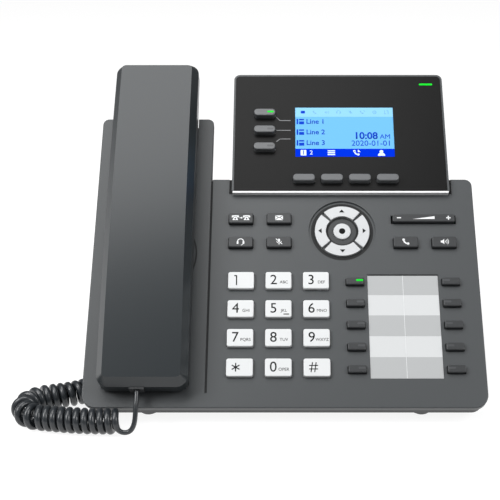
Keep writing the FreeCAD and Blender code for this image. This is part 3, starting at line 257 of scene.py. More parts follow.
# The floor is grey to the light that falls on it and nearly white to the eye, so it keeps a shadow and
# throws little light up.
FLOOR_GREY = 0.26
FLOOR_WHITE = 0.89
WORLD_STRENGTH = 0.18
WHITE = (1, 1, 1, 1)
LAMP_AIM = (0, 0, 0.08)
SOFTBOXES = {
    "overhead_softbox": {"place": (-0.25, -0.08, 1.25), "width": 0.88, "power": 9.4},
    "left_softbox": {"place": (-0.95, -0.6, 1.0), "width": 0.6, "power": 12.0},
    "right_softbox": {"place": (0.95, -0.6, 0.9), "width": 0.6, "power": 7.5},
}
CAMERA_PLACE = (0, -0.4938 - ORIGIN_DEPTH / MM_PER_M, 0.2819)
CAMERA_DIP = 20.4
FOCAL_LENGTH = 78.2
SENSOR_WIDTH = 36
SHIFT = -0.07
CLIP_START = 0.01


def linear(code):
    """Linear colour of an sRGB hex value."""
    parts = [int(code[i:i + 2], 16) / 255 for i in (1, 3, 5)]
    return [part / 12.92 if part <= 0.04045 else ((part + 0.055) / 1.055) ** 2.4 for part in parts]


def colour(name, description, code):
    """A colour for the panel."""
    return bpy.props.FloatVectorProperty(
        name=name, description=description, default=linear(code), size=3, min=0, max=1, subtype="COLOR")


def distance(name, description, default):
    """A size for the panel, in metres."""
    return bpy.props.FloatProperty(name=name, description=description, default=default, unit="LENGTH")


class PhoneColours(bpy.types.PropertyGroup):
    """Colours that a user would change"""
    case: colour("Case", "Moulded covers", "#45484A")
    handset: colour("Handset", "Moulded handset shells", "#2A2F32")
    underside: colour("Underside", "Bottom cover and stand", "#1F2123")
    panel: colour("Panel", "Black display panel", "#161616")
    pale_key: colour("Digit keys", "Pale digit caps", "#DCDEDF")
    dark_key: colour("Dark keys", "Function and memory caps", "#313335")
    grey_key: colour("Display keys", "Line and soft keys", "#606264")
    silver: colour("Silver keys", "Arrow pads and select key", "#CACCCE")
    screen: colour("Screen", "Lit ground of the screen", "#6DB4E6")
    screen_ink: colour("Screen ink", "Dark marks on the screen", "#1442C4")
    screen_bar: colour("Screen bar", "Bar of soft-key marks", "#002ED0")
    card: colour("Card", "Darker bands of the label card", "#B0B2B3")
    lamp: colour("Lamps", "Green lamps", "#0BD42A")
    jacket: colour("Cord", "Jacket of the curly cord", "#282C30")


class PhoneSizes(bpy.types.PropertyGroup):
    """Sizes that a user would change"""
    digit_height: distance("Digit height", "Size of the digits on the keys", 0.0058)
    letter_height: distance("Letter height", "Size of the letters on the keys", 0.0017)
    wire: distance("Wire", "Diameter of the cord's jacket in the curls", 0.0037)
    lead: distance("Lead", "Diameter of the cord's straight ends", 0.0026)
    coil: distance("Coil", "Outer diameter of the curls", 0.0137)
    turn_gap: distance("Turn gap", "Air between the curls", 0.0002)


def colours():
    """The scene's colours, as the panel has them."""
    return bpy.context.scene.phone_colours


def sizes():
    """The scene's sizes, as the panel has them."""
    return bpy.context.scene.phone_sizes


def add_node(tree, kind, settings=None, inputs=None, links=None):
    """Adds a node with its own settings, its socket values and its links from other sockets."""
    item = tree.nodes.new(kind)
    for name, value in (settings or {}).items():
        setattr(item, name, value)
    for name, value in (inputs or {}).items():
        item.inputs[name].default_value = value
    for name, source in (links or {}).items():
        tree.links.new(source, item.inputs[name])
    return item


def make_finish(name, shade, roughness, ior=1.5, metallic=0.0, coat=0.0, glow=0.0, grain_mm=0.0, depth=0.0):
    """A material of one colour that may have a clear coat, a light behind it or a moulded grain."""
    material = bpy.data.materials.new(name)
    material.use_nodes = True
    tree = material.node_tree
    shader = tree.nodes["Principled BSDF"]
    rgba = (*(linear(shade) if shade.startswith("#") else getattr(colours(), shade)), 1)
    values = {"Base Color": rgba, "Roughness": roughness, "IOR": ior, "Metallic": metallic}
    if coat:
        values |= {"Coat Weight": coat, "Coat Roughness": COAT_ROUGHNESS}
    if glow:
        values |= {"Emission Color": rgba, "Emission Strength": glow}
    for socket, value in values.items():
        shader.inputs[socket].default_value = value
    if grain_mm:
        place = add_node(tree, "ShaderNodeTexCoord")
        grain = add_node(tree, "ShaderNodeTexNoise",
                         inputs={"Scale": MM_PER_M / grain_mm, "Detail": GRAIN_DETAIL},
                         links={"Vector": place.outputs["Object"]})
        bump = add_node(tree, "ShaderNodeBump",
                        inputs={"Strength": depth, "Distance": grain_mm * GRAIN_RISE / MM_PER_M},
                        links={"Height": grain.outputs["Fac"]})
        tree.links.new(bump.outputs["Normal"], shader.inputs["Normal"])
    return material


def finish(name):
    """The material of that name, made from its row in FINISHES when it is first asked for."""
    return bpy.data.materials.get(name) or make_finish(name, **FINISHES[name])


def paint(nodes, finish_name):
    """Gives solids of the frame one finish."""
    for node in nodes:
        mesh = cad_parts[node].data
        mesh.materials.clear()
        mesh.materials.append(finish(finish_name))


def keep(name, shape, finish_name, body):
    """Makes a piece from a bmesh in face millimetres and lets it move with a body."""
    bmesh.ops.recalc_face_normals(shape, faces=shape.faces)
    mesh = bpy.data.meshes.new(name)
    shape.to_mesh(mesh)
    shape.free()
    mesh.transform(FACE)
    mesh.materials.append(finish(finish_name))
    item = bpy.data.objects.new(name, mesh)
    bpy.context.scene.collection.objects.link(item)
    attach(item, body)


def mesh_of(holder):
    """The mesh that a curve or a lettering makes as it stands."""
    bpy.context.view_layer.update()
    return bpy.data.meshes.new_from_object(holder.evaluated_get(bpy.context.evaluated_depsgraph_get()))


def thicken(shape, faces, thickness=INK):
    """Raises flat faces into thin printed or moulded marks."""
    raised = bmesh.ops.extrude_face_region(shape, geom=faces)
    corners = [item for item in raised["geom"] if isinstance(item, bmesh.types.BMVert)]
    bmesh.ops.translate(shape, verts=corners, vec=(0, 0, thickness))


def outline(shape, points, z, thickness=INK):
    """A flat mark with the given corners."""
    face = shape.faces.new([shape.verts.new((x, y, z)) for x, y in points])
    thicken(shape, [face], thickness)


def bar(shape, start, end, width, z, thickness=INK):
    """A straight stroke between two points."""
    start, end = Vector(start), Vector(end)
    along = (end - start).normalized()
    side = Vector((-along.y, along.x)) * width / 2
    outline(shape, [start - side, end - side, end + side, start + side], z, thickness)


def disc(shape, centre, radius, z, segments=24):
    """A round dot."""
    made = bmesh.ops.create_circle(shape, cap_ends=True, radius=radius, segments=segments,
                                   matrix=Matrix.Translation((*centre, z)))
    thicken(shape, list({face for vertex in made["verts"] for face in vertex.link_faces}))


def arc(shape, centre, inner, outer, start, end, z, thickness=INK, steps=16):
    """Part of a flat ring between two angles in degrees, spun from a short stroke."""
    first, turn = math.radians(start), math.radians(end - start)
    heading = Vector((math.cos(first), math.sin(first), 0))
    hub = Vector((*centre, z))
    ends = [shape.verts.new(hub + heading * radius) for radius in (inner, outer)]
    edge = shape.edges.new(ends)
    known = set(shape.faces)
    bmesh.ops.spin(shape, geom=ends + [edge], cent=hub, axis=(0, 0, 1), angle=turn, steps=steps,
                   use_merge=end - start == FULL_TURN)
    thicken(shape, [face for face in shape.faces if face not in known], thickness)


def pill(shape, centre, width, height, radius, z, thickness=INK):
    """A rectangle whose corners may be rounded."""
    made = bmesh.ops.create_grid(shape, x_segments=1, y_segments=1, size=0.5)
    bmesh.ops.scale(shape, verts=made["verts"], vec=(width, height, 1))
    bmesh.ops.translate(shape, verts=made["verts"], vec=(*centre, z))
    if radius:
        made = bmesh.ops.bevel(shape, geom=made["verts"], affect="VERTICES", offset=radius, segments=4,
                               profile=0.5, material=-1)
    thicken(shape, [made["verts"][0].link_faces[0]], thickness)


def words(shape, text, height, centre, z, bold=0.0):
    """Plain lettering as a mesh, its middle at a point of the face."""
    curve = bpy.data.curves.new("lettering", "FONT")
    curve.body = text
    curve.size = height * SIZE_PER_CAPITAL
    curve.offset = bold
    curve.align_x = "CENTER"
    curve.align_y = "CENTER"
    curve.resolution_u = LETTER_STEPS
    holder = bpy.data.objects.new("lettering", curve)
    bpy.context.scene.collection.objects.link(holder)
    mesh = mesh_of(holder)
    bpy.data.objects.remove(holder)
    bpy.data.curves.remove(curve)
    mesh.transform(Matrix.Translation((*centre, z)))
    known = set(shape.faces)
    shape.from_mesh(mesh)
    bpy.data.meshes.remove(mesh)
    thicken(shape, [face for face in shape.faces if face not in known])


def handset_mark(shape, centre, size, z):
    """A handset leaning to the left, about 4 mm wide at full size."""
    x, y = centre
    arc(shape, (x + 1.1 * size, y + 1.1 * size), 1.9 * size, 2.7 * size, 180, 270, z)
    for side, rise in ((-1.2, 1.1), (1.1, -1.2)):
        disc(shape, (x + side * size, y + rise * size), 0.75 * size, z, segments=16)


def speaker_mark(shape, centre, size, z):
    """A loudspeaker with three waves."""
    x, y = centre
    body = ((-2.0, -0.6), (-1.2, -0.6), (-0.1, -1.6), (-0.1, 1.6), (-1.2, 0.6), (-2.0, 0.6))
    outline(shape, [(x + side * size, y + rise * size) for side, rise in body], z)
    for radius in (0.9, 1.7, 2.5):
        arc(shape, (x - 0.1 * size, y), (radius - 0.3) * size, radius * size, -42, 42, z)


def headset_mark(shape, centre, size, z):
    """A headband with two ear pads and a boom."""
    x, y = centre
    arc(shape, (x, y), 1.4 * size, 1.9 * size, -10, 190, z)
    for side in (-1.6, 1.6):
        pill(shape, (x + side * size, y - 0.6 * size), 1.0 * size, 1.6 * size, 0.2 * size, z)
    arc(shape, (x, y - 0.6 * size), 1.35 * size, 1.7 * size, -80, -10, z)


def microphone_mark(shape, centre, size, z):
    """A struck-out microphone."""
    x, y = centre
    stroke = 0.4 * size
    pill(shape, (x, y + 0.6 * size), 1.1 * size, 2.2 * size, 0.5 * size, z)
    arc(shape, (x, y + 0.3 * size), 1.1 * size, 1.4 * size, 180, 360, z)
    bar(shape, (x, y - 1.0 * size), (x, y - 1.8 * size), stroke, z)
    bar(shape, (x - 1.7 * size, y + 1.7 * size), (x + 1.7 * size, y - 1.5 * size), stroke, z)


def transfer_mark(shape, dials, centre, z):
    """Two desk phones with an arrow from one to the other, and the dark dials on them."""
    x, y = centre
    for middle in (x - 3.1, x + 3.1):
        pill(shape, (middle, y + 1.15), 3.6, 0.75, 0.3, z)
        for end in (-1.5, 1.5):
            pill(shape, (middle + end, y + 0.75), 1.0, 1.1, 0.2, z)
        foot = ((-1.6, -1.4), (1.6, -1.4), (0.7, 0.5), (-0.7, 0.5))
        outline(shape, [(middle + side, y + rise) for side, rise in foot], z)
        disc(dials, (middle, y - 0.6), 0.5, z + INK, segments=12)
    bar(shape, (x - 0.8, y), (x + 0.4, y), 0.4, z)
    outline(shape, [(x + 0.2, y - 0.7), (x + 0.95, y), (x + 0.2, y + 0.7)], z)


def message_mark(shape, folds, centre, z):
    """An envelope, and the dark folds on it."""
    x, y = centre
    pill(shape, (x, y), 4.2, 2.9, 0.2, z)
    for side in (-1, 1):
        bar(folds, (x + side * 1.9, y + 1.25), (x, y - 0.1), 0.35, z + INK)
        bar(folds, (x + side * 1.9, y - 1.25), (x + side * 0.6, y + 0.1), 0.3, z + INK)


def volume_mark(shape, centre, z):
    """A minus, a rising wedge and a plus."""
    x, y = centre
    bar(shape, (x - 14.8, y), (x - 12.5, y), VOLUME_STROKE, z)
    outline(shape, [(x - 6.0, y - 0.75), (x + 6.0, y - 0.75), (x + 6.0, y + 0.95)], z)
    bar(shape, (x + 12.4, y), (x + 14.8, y), VOLUME_STROKE, z)
    bar(shape, (x + 13.6, y - 1.2), (x + 13.6, y + 1.2), VOLUME_STROKE, z)


def star_mark(shape, centre, z):
    """Three strokes through one point."""
    middle = Vector(centre)
    for turn in (90, 30, 150):
        reach = Vector((math.cos(math.radians(turn)), math.sin(math.radians(turn)))) * 2.35
        bar(shape, middle - reach, middle + reach, DIGIT_STROKE, z)


def hash_mark(shape, centre, z):
    """Two level strokes across two leaning ones."""
    x, y = centre
    for offset in (-0.95, 0.95):
        bar(shape, (x + offset - 0.4, y - 2.7), (x + offset + 0.4, y + 2.7), HASH_STROKE, z)
        bar(shape, (x - 2.3, y + offset), (x + 2.3, y + offset), HASH_STROKE, z)


def one_mark(shape, centre, height, z):
    """A one without a foot."""
    x, y = centre
    flag = y + height / 2 - DIGIT_STROKE / 2
    bar(shape, (x, y - height / 2), (x, y + height / 2), DIGIT_STROKE, z)
    bar(shape, (x - 1.3, flag), (x, flag), DIGIT_STROKE, z)


PLAIN_MARKS = {
    "headset_key": headset_mark,
    "mute_key": microphone_mark,
    "call_key": handset_mark,
    "speaker_key": speaker_mark,
}


class PHONE_OT_covers(bpy.types.Operator):
    """Finishes the moulded covers, the stand, the handset and the hidden pieces"""
    bl_idname = "phone.covers"
    bl_label = "Covers"

    def execute(self, context):
        for finish_name, nodes in COVERS.items():
            paint(nodes, finish_name)
        return {"FINISHED"}


class PHONE_OT_head_trim(bpy.types.Operator):
    """Adds the pale trim under the display, dark seals, painted shade in two grooves, the message lamp and
    the leader lines
    """
    bl_idname = "phone.head_trim"
    bl_label = "Head trim"

    def execute(self, context):
        shape = bmesh.new()
        pill(shape, centre=(31.05, 123.35), width=120.6, height=1.0, radius=0.45, z=0.05, thickness=3.1)
        keep("head_trim", shape, "polished_abs_white", "base")
        # Seals in the slits beside the head.
        shape = bmesh.new()
        for x in (-30.45, 92.55):
            pill(shape, centre=(x, 128.2), width=1.4, height=9.2, radius=0.0, z=-3.0, thickness=2.4)
        keep("head_seals", shape, "moulded_rubber_and_painted_shade_black", "base")
        # Painted shade in the groove round the loudspeaker grille: a thin dark ring on its floor.
        shape = bmesh.new()
        arc(shape, (-72.8, 86.7), inner=24.0, outer=24.8, start=0, end=FULL_TURN, z=0.0,
            thickness=0.03, steps=96)
        keep("grille_line", shape, "moulded_rubber_and_painted_shade_black", "base")
        # Painted shade in the groove beside the cradle: a dark strip along its floor.
        shape = bmesh.new()
        pill(shape, centre=(-41.0, 70.0), width=1.1, height=123.6, radius=0.0, z=-0.88, thickness=0.6)
        keep("cradle_line", shape, "moulded_rubber_and_painted_shade_black", "base")
        shape = bmesh.new()
        pill(shape, centre=(82.1, 194.0), width=7.8, height=1.25, radius=0.55, z=HEAD_FRONT, thickness=0.15)
        keep("message_lamp", shape, "lit_polystyrene_green", "base")
        # Lines that lead from the line keys to their rows on the screen.
        key_end, elbow, screen_end, stroke = -4.9, -2.9, 3.2, 0.35
        shape = bmesh.new()
        for outer, inner in ((171.7, 169.5), (163.0, 163.0), (155.5, 157.3)):
            bar(shape, (key_end, outer), (elbow, inner), stroke, HEAD_FRONT)
            bar(shape, (elbow, inner), (screen_end, inner), stroke, HEAD_FRONT)
        keep("leader_lines", shape, "printed_ink_grey", "base")
        return {"FINISHED"}


class PHONE_OT_screen(bpy.types.Operator):
    """Draws a plain call list, a clock and a bar of soft-key marks on the lit screen"""
    bl_idname = "phone.screen"
    bl_label = "Screen"

    def execute(self, context):
        paint(("lcd_module",), "backlit_film_blue")
        left, right, low, high, z = SCREEN_LEFT, SCREEN_RIGHT, SCREEN_LOW, SCREEN_HIGH, SCREEN_TOP
        shape = bmesh.new()
        edge = high - STATUS_HEIGHT
        outline(shape, [(left, edge), (right, edge), (right, high), (left, high)], z, INK / 2)
        keep("screen_status", shape, "backlit_film_pale", "base")
        shape = bmesh.new()
        edge = low + BAR_HEIGHT
        outline(shape, [(left, low), (right, low), (right, edge), (left, edge)], z)
        keep("screen_bar", shape, "backlit_film_deep_blue", "base")
        # The call list, each row with a small desk phone, then the clock and the date.
        shape = bmesh.new()
        for number, height in zip(LINE_NUMBERS, (169.0, 162.0, 154.9)):
            pill(shape, (left + 1.2, height), 0.9, 3.6, 0.2, z)
            pill(shape, (left + 3.6, height - 0.9), 2.9, 1.9, 0.2, z)
            pill(shape, (left + 3.6, height + 1.3), 2.9, 0.9, 0.2, z)
            words(shape, f"Line {number}", 3.2, (left + 11.6, height - 0.1), z, bold=0.05)
        words(shape, "10:08", 4.5, (46.2, 159.4), z, bold=0.14)
        words(shape, "AM", 3.1, (57.2, 158.9), z)
        words(shape, "2020-01-01", 3.6, (49.2, 154.5), z)
        pill(shape, (left + 4.4, high - 3.0), 2.4, 1.8, 0.4, z)
        keep("screen_marks", shape, "switched_film_blue", "base")
        # Marks in the status row that are off.
        shape = bmesh.new()
        height, stroke = high - 3.1, 0.4
        handset_mark(shape, (left + 11.2, height), 0.55, z)
        speaker_mark(shape, (left + 18.1, height), 0.6, z)
        headset_mark(shape, (left + 25.0, height + 0.1), 0.62, z)
        microphone_mark(shape, (left + 31.9, height), 0.6, z)
        handset_mark(shape, (left + 38.4, height), 0.55, z)
        arc(shape, (left + 39.6, height + 0.6), 0.3, 0.6, -20, 110, z)
        arc(shape, (left + 45.7, height), 0.75, 1.2, 0, FULL_TURN, z)
        bar(shape, (left + 45.2, height), (left + 46.2, height), stroke, z)
        middle = left + 52.6
        for side in (-1, 1):
            bar(shape, (middle + side, height - 1.2), (middle + side, height + 1.2), stroke, z)
            bar(shape, (middle + side, height + side), (middle, height + side), stroke, z)
        keep("screen_faint_marks", shape, "resting_film_blue", "base")
        # Marks over the soft keys: two pages, a list, a call and a person.
        shape = bmesh.new()
        height, z = low + BAR_HEIGHT / 2, SCREEN_TOP + INK
        for row in (-1, 0, 1):
            pill(shape, (left + 20.4, height + 1.2 * row), 4.2, 0.7, 0.0, z)
        pill(shape, (left + 4.6, height), 3.2, 3.6, 0.3, z)
        words(shape, "2", 2.8, (left + 9.0, height), z)
        handset_mark(shape, (left + 34.6, height), 0.95, z)
        arrow = ((35.4, 0.4), (37.0, 0.5), (35.5, 2.0))
        outline(shape, [(left + side, height + rise) for side, rise in arrow], z)
        disc(shape, (left + 48.8, height + 0.7), 1.05, z)
        arc(shape, (left + 48.8, height - 2.0), 0.05, 2.1, 0, 180, z)
        keep("screen_bar_marks", shape, "clear_film_pale", "base")
        shape = bmesh.new()
        words(shape, "1", 2.8, (left + 4.6, height), z + INK, bold=0.05)
        keep("screen_page_mark", shape, "switched_film_blue", "base")
        return {"FINISHED"}


class PHONE_OT_digit_keys(bpy.types.Operator):
    """Finishes the digit keys and prints their numbers and letters"""
    bl_idname = "phone.digit_keys"
    bl_label = "Digit keys"

    def execute(self, context):
        tall, small = sizes().digit_height * MM_PER_M, sizes().letter_height * MM_PER_M
        for index, name in enumerate(DIGITS):
            key = f"digit_key_{name}"
            paint((key,), "satin_painted_abs_pale")
            x = DIGIT_FIRST[0] + DIGIT_PITCH[0] * (index % DIGIT_COLUMNS)
            y = DIGIT_FIRST[1] + DIGIT_PITCH[1] * (index // DIGIT_COLUMNS)
            shape = bmesh.new()
            if name == "star":
                star_mark(shape, (x - 2.0, y), DIGIT_TOP)
            elif name == "hash":
                hash_mark(shape, (x - 1.8, y), DIGIT_TOP)
            elif name == "1":
                one_mark(shape, (x - 2.4, y), tall, DIGIT_TOP)
            else:
                words(shape, name, tall, (x - 2.6, y), DIGIT_TOP)
                words(shape, LETTERS[name], small, (x + 2.9, y - 1.2), DIGIT_TOP)
            if name == "5":
                # A raised line, by which a finger finds the middle key.
                bar(shape, (x + 2.7, y - 3.2), (x + 5.6, y - 3.2), 0.45, DIGIT_TOP, INK * 3)
            keep(f"legend_{name}", shape, "printed_ink_black", key)
        return {"FINISHED"}


class PHONE_OT_function_keys(bpy.types.Operator):
    """Finishes the dark keys and adds their pale marks and their lenses"""
    bl_idname = "phone.function_keys"
    bl_label = "Function keys"

    def execute(self, context):
        dark, pale, z = "satin_moulded_abs_dark", "printed_ink_white", FUNCTION_TOP
        paint([*FUNCTION_KEYS, *MEMORY_KEYS, "volume_rocker"], dark)
        paint(LINE_KEYS + SOFT_KEYS, "satin_moulded_abs_grey")
        for key, centre in FUNCTION_KEYS.items():
            shape = bmesh.new()
            if key == "transfer_key":
                dials = bmesh.new()
                transfer_mark(shape, dials, centre, z)
                keep("mark_transfer_dials", dials, dark, key)
            elif key == "message_key":
                folds = bmesh.new()
                message_mark(shape, folds, centre, z)
                keep("mark_message_folds", folds, dark, key)
            else:
                PLAIN_MARKS[key](shape, centre, 1.0, z)
            keep(f"mark_{key}", shape, pale, key)
        shape = bmesh.new()
        volume_mark(shape, VOLUME, z)
        keep("mark_volume", shape, pale, "volume")
        for key in MEMORY_KEYS:
            side, row = key.split("_")[-2:]
            y = MEMORY_LENS_LOWEST + MEMORY_PITCH * (MEMORY_ROWS - int(row))
            shape = bmesh.new()
            pill(shape, (MEMORY_LENS_X[side], y), width=3.7, height=1.1, radius=0.3, z=MEMORY_TOP)
            self.keep_lens(f"lens_{key}", shape, key)
        for number, key in zip(LINE_NUMBERS, LINE_KEYS):
            y = LINE_LENS_LOWEST + LINE_PITCH * (LINE_NUMBERS[-1] - number)
            shape = bmesh.new()
            pill(shape, (LINE_LENS_X, y), width=3.6, height=1.1, radius=0.4, z=DISPLAY_KEY_TOP)
            self.keep_lens(f"lens_line_{number}", shape, key)
        return {"FINISHED"}

    def keep_lens(self, name, shape, key):
        """Keeps a lens, green where its key is lit."""
        keep(name, shape, "lit_polystyrene_green" if key in LIT_KEYS else "moulded_polystyrene_grey", key)


class PHONE_OT_navigation(bpy.types.Operator):
    """Finishes the arrow pads and the select key, prints their marks and paints shade into the gaps round
    them
    """
    bl_idname = "phone.navigation"
    bl_label = "Navigation keys"

    def execute(self, context):
        paint([*ARROW_KEYS, "nav_select_key"], "silver_painted_abs")
        for index, key in enumerate(ARROW_KEYS):
            turn = math.radians(90 * index)
            along = Vector((math.cos(turn), math.sin(turn)))
            side = Vector((-along.y, along.x)) * 1.5
            middle = Vector(NAV) + along * ARROW_REACH
            back = middle - along * 0.8
            shape = bmesh.new()
            outline(shape, [back - side, middle + along * 1.0, back + side], NAV_TOP)
            keep(f"arrow_{key}", shape, "printed_ink_black", key)
        shape = bmesh.new()
        disc(shape, NAV, 1.75, SELECT_TOP)
        keep("select_dot", shape, "printed_ink_black", "nav_select_key")
        shape = bmesh.new()
        arc(shape, NAV, inner=5.15, outer=8.65, start=0, end=FULL_TURN, z=NAV_FLOOR, steps=48)
        keep("nav_hub_ring", shape, "satin_moulded_abs_dark", "base")
        # Painted shade: dark rings in the gap round the arrow pads and between the pads and the hub.
        shape = bmesh.new()
        arc(shape, NAV, inner=15.35, outer=17.2, start=0, end=FULL_TURN, z=NAV_FLOOR, steps=64)
        arc(shape, NAV, inner=7.7, outer=8.65, start=0, end=FULL_TURN, z=NAV_FLOOR + INK, steps=48)
        keep("nav_gap_shade_rings", shape, "moulded_rubber_and_painted_shade_black", "base")
        return {"FINISHED"}


class PHONE_OT_label_card(bpy.types.Operator):
    """Finishes the label card, prints its bands and paints a shadow along its top edge"""
    bl_idname = "phone.label_card"
    bl_label = "Label card"

    def execute(self, context):
        # A painted shadow: a thin dark strip along the card's top edge, under the pocket's rim.
        shape = bmesh.new()
        pill(shape, centre=(63.55, 74.2), width=38.0, height=0.6, radius=0.0, z=CARD_TOP, thickness=INK * 2)
        keep("card_edge_shadow", shape, "moulded_rubber_and_painted_shade_black", "base")
        paint(("label_card",), "coated_card_white")
        middle = (CARD_LEFT + CARD_RIGHT) / 2
        band = (CARD_HIGH - CARD_LOW) / CARD_ROWS
        shape = bmesh.new()
        for row in range(0, CARD_ROWS, 2):
            pill(shape, (middle, CARD_LOW + band * (row + 0.5)), CARD_RIGHT - CARD_LEFT, band, 0.0, CARD_TOP)
        keep("card_bands", shape, "printed_card_grey", "base")
        shape = bmesh.new()
        bar(shape, (middle, CARD_LOW), (middle, CARD_HIGH), 0.18, CARD_TOP + INK)
        keep("card_middle_line", shape, "printed_ink_white", "base")
        return {"FINISHED"}


def smooth_line(name, points, steps):
    """An open curve that follows its control points smoothly, as an object."""
    curve = bpy.data.curves.new(name, "CURVE")
    curve.dimensions = "3D"
    curve.resolution_u = steps
    spline = curve.splines.new("NURBS")
    spline.points.add(len(points) - 1)
    for knot, point in zip(spline.points, points):
        knot.co = (*point, 1)
    spline.order_u = 3
    spline.use_endpoint_u = True
    holder = bpy.data.objects.new(name, curve)
    bpy.context.scene.collection.objects.link(holder)
    return holder


def places_along(holder):
    """Points read along a curve that has no thickness yet."""
    line = mesh_of(holder)
    places = [vertex.co.copy() for vertex in line.vertices]
    bpy.data.meshes.remove(line)
    return places


def coil_points():
    """Points of the curls round their route, wider apart where it bends, up to the last whole turn."""
    height = sizes().coil / 2
    radius = height - sizes().wire / 2
    pitch = sizes().wire + sizes().turn_gap
    holder = smooth_line("coil_route", [(x, y, height) for x, y in COIL_ROUTE], ROUTE_STEPS)
    route = places_along(holder)
    bpy.data.objects.remove(holder)
    turned = 0.0
    points = []
    for before, here, after in zip(route, route[1:], route[2:]):
        run = (after - before) / 2
        bend = (here - before).angle(after - here) / run.length
        turned += run.length * (1 - FAN * radius * bend) / pitch
        if turned * TURN_POINTS >= len(points):
            phase = 2 * math.pi * (turned + FIRST_CURL)
            side = run.normalized().cross((0, 0, 1))
            points.append(here - radius * (side * math.sin(phase) + Vector((0, 0, math.cos(phase)))))
    return points[:int(turned) * TURN_POINTS + 1]


class PHONE_OT_cord(bpy.types.Operator):
    """Lays the curly cord from the handset to the base"""
    bl_idname = "phone.cord"
    bl_label = "Curly cord"

    def execute(self, context):
        wire = sizes().wire
        leave = Vector((0, -math.sin(TILT), -math.cos(TILT)))
        start, end = Vector(CORD_EXIT), Vector(CORD_END)
        lead_out = [start, start + leave * wire, *map(Vector, LEAD_TO_COIL)]
        lead_in = [*map(Vector, LEAD_TO_BASE), end - Vector((wire, 0, 0)), end]
        holder = smooth_line("cord_route", lead_out + coil_points() + lead_in, CURL_STEPS)
        knots = holder.data.splines[0].points
        for knot in [*knots[:len(lead_out)], *knots[-len(lead_in):]]:
            knot.radius = sizes().lead / wire
        path = places_along(holder)
        holder.data.bevel_depth = wire / 2
        holder.data.bevel_resolution = 3
        holder.data.use_fill_caps = True
        mesh = mesh_of(holder)
        mesh.name = "curly_cord"
        bpy.data.objects.remove(holder)
        mesh.materials.clear()
        mesh.materials.append(finish("extruded_polyurethane_dark"))
        mesh.polygons.foreach_set("use_smooth", [True] * len(mesh.polygons))
        cord = bpy.data.objects.new("curly_cord", mesh)
        context.scene.collection.objects.link(cord)
        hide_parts("handset_cord")
        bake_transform(cord)
        return {"FINISHED"}


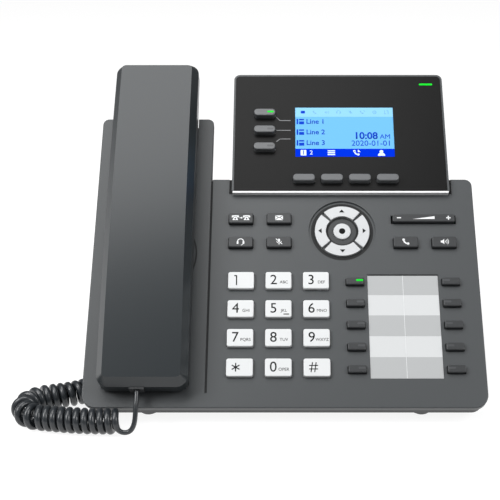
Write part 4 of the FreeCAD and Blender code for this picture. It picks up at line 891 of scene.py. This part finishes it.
class PHONE_OT_studio(bpy.types.Operator):
    """Sets the pale floor, the soft lamps and the camera"""
    bl_idname = "phone.studio"
    bl_label = "Studio"

    def execute(self, context):
        scene = context.scene
        self.lay_floor(scene)
        self.hang_lamps(scene)
        self.set_camera(scene)
        scene.view_settings.view_transform = "Standard"
        return {"FINISHED"}

    def lay_floor(self, scene):
        """Lays a sheet of paper under the phone."""
        shape = bmesh.new()
        bmesh.ops.create_grid(shape, x_segments=1, y_segments=1, size=FLOOR_HALF)
        mesh = bpy.data.meshes.new("studio_floor")
        shape.to_mesh(mesh)
        shape.free()
        floor = bpy.data.objects.new("studio_floor", mesh)
        scene.collection.objects.link(floor)
        # Rolled paper: an even white to the eye and in reflections, with the phone's soft shadow on it.
        paper = bpy.data.materials.new("rolled_paper_white")
        paper.use_nodes = True
        tree = paper.node_tree
        tree.nodes.clear()
        rays = add_node(tree, "ShaderNodeLightPath")
        straight = add_node(tree, "ShaderNodeMath", {"operation": "ADD"},
                            links={0: rays.outputs["Is Camera Ray"], 1: rays.outputs["Is Glossy Ray"]})
        through = add_node(tree, "ShaderNodeMath", {"operation": "ADD", "use_clamp": True},
                           links={0: straight.outputs[0], 1: rays.outputs["Is Transmission Ray"]})
        seen = add_node(tree, "ShaderNodeMath", {"operation": "MULTIPLY"}, {1: FLOOR_WHITE},
                        {0: through.outputs[0]})
        dull = add_node(tree, "ShaderNodeBsdfDiffuse",
                        inputs={"Color": (FLOOR_GREY, FLOOR_GREY, FLOOR_GREY, 1)})
        white = add_node(tree, "ShaderNodeEmission", inputs={"Color": WHITE},
                         links={"Strength": seen.outputs[0]})
        both = add_node(tree, "ShaderNodeAddShader", links={0: dull.outputs[0], 1: white.outputs[0]})
        add_node(tree, "ShaderNodeOutputMaterial", links={"Surface": both.outputs[0]})
        mesh.materials.append(paper)

    def hang_lamps(self, scene):
        """Sets the soft light all round and the three softboxes."""
        scene.world = scene.world or bpy.data.worlds.new("studio")
        scene.world.use_nodes = True
        back = scene.world.node_tree.nodes["Background"]
        back.inputs["Color"].default_value = WHITE
        back.inputs["Strength"].default_value = WORLD_STRENGTH
        for name, box in SOFTBOXES.items():
            light = bpy.data.lights.new(name, "AREA")
            light.size = box["width"]
            light.energy = box["power"]
            lamp = bpy.data.objects.new(name, light)
            lamp.location = box["place"]
            lamp.rotation_euler = (Vector(LAMP_AIM) - lamp.location).to_track_quat("-Z", "Y").to_euler()
            scene.collection.objects.link(lamp)

    def set_camera(self, scene):
        """Sets the camera in front of the phone, looking down at its face."""
        lens = bpy.data.cameras.new("camera")
        lens.lens = FOCAL_LENGTH
        lens.sensor_width = SENSOR_WIDTH
        lens.shift_x = SHIFT
        lens.clip_start = CLIP_START
        camera = bpy.data.objects.new("camera", lens)
        camera.location = CAMERA_PLACE
        camera.rotation_euler = (math.radians(90 - CAMERA_DIP), 0, 0)
        scene.collection.objects.link(camera)
        scene.camera = camera


class PHONE_PT_panel(bpy.types.Panel):
    """Lists the phone's colours, sizes and pieces"""
    bl_idname = "PHONE_PT_panel"
    bl_label = "Desk Phone"
    bl_space_type = "VIEW_3D"
    bl_region_type = "UI"
    bl_category = "Phone"

    def draw(self, context):
        for group in (colours(), sizes()):
            for name in group.__annotations__:
                self.layout.prop(group, name)
        for operator in OPERATORS:
            self.layout.operator(operator.bl_idname)


OPERATORS = (
    PHONE_OT_covers, PHONE_OT_head_trim, PHONE_OT_screen, PHONE_OT_digit_keys, PHONE_OT_function_keys,
    PHONE_OT_navigation, PHONE_OT_label_card, PHONE_OT_cord, PHONE_OT_studio,
)
CLASSES = (PhoneColours, PhoneSizes, *OPERATORS, PHONE_PT_panel)


def register():
    """Adds the classes and the two groups of properties."""
    for item in CLASSES:
        bpy.utils.register_class(item)
    bpy.types.Scene.phone_colours = bpy.props.PointerProperty(type=PhoneColours)
    bpy.types.Scene.phone_sizes = bpy.props.PointerProperty(type=PhoneSizes)


def unregister():
    """Takes out what register adds."""
    del bpy.types.Scene.phone_sizes
    del bpy.types.Scene.phone_colours
    for item in reversed(CLASSES):
        bpy.utils.unregister_class(item)


def main():
    """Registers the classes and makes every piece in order."""
    register()
    bpy.ops.phone.covers()
    bpy.ops.phone.head_trim()
    bpy.ops.phone.screen()
    bpy.ops.phone.digit_keys()
    bpy.ops.phone.function_keys()
    bpy.ops.phone.navigation()
    bpy.ops.phone.label_card()
    bpy.ops.phone.cord()
    bpy.ops.phone.studio()


if __name__ == "__main__":
    main()
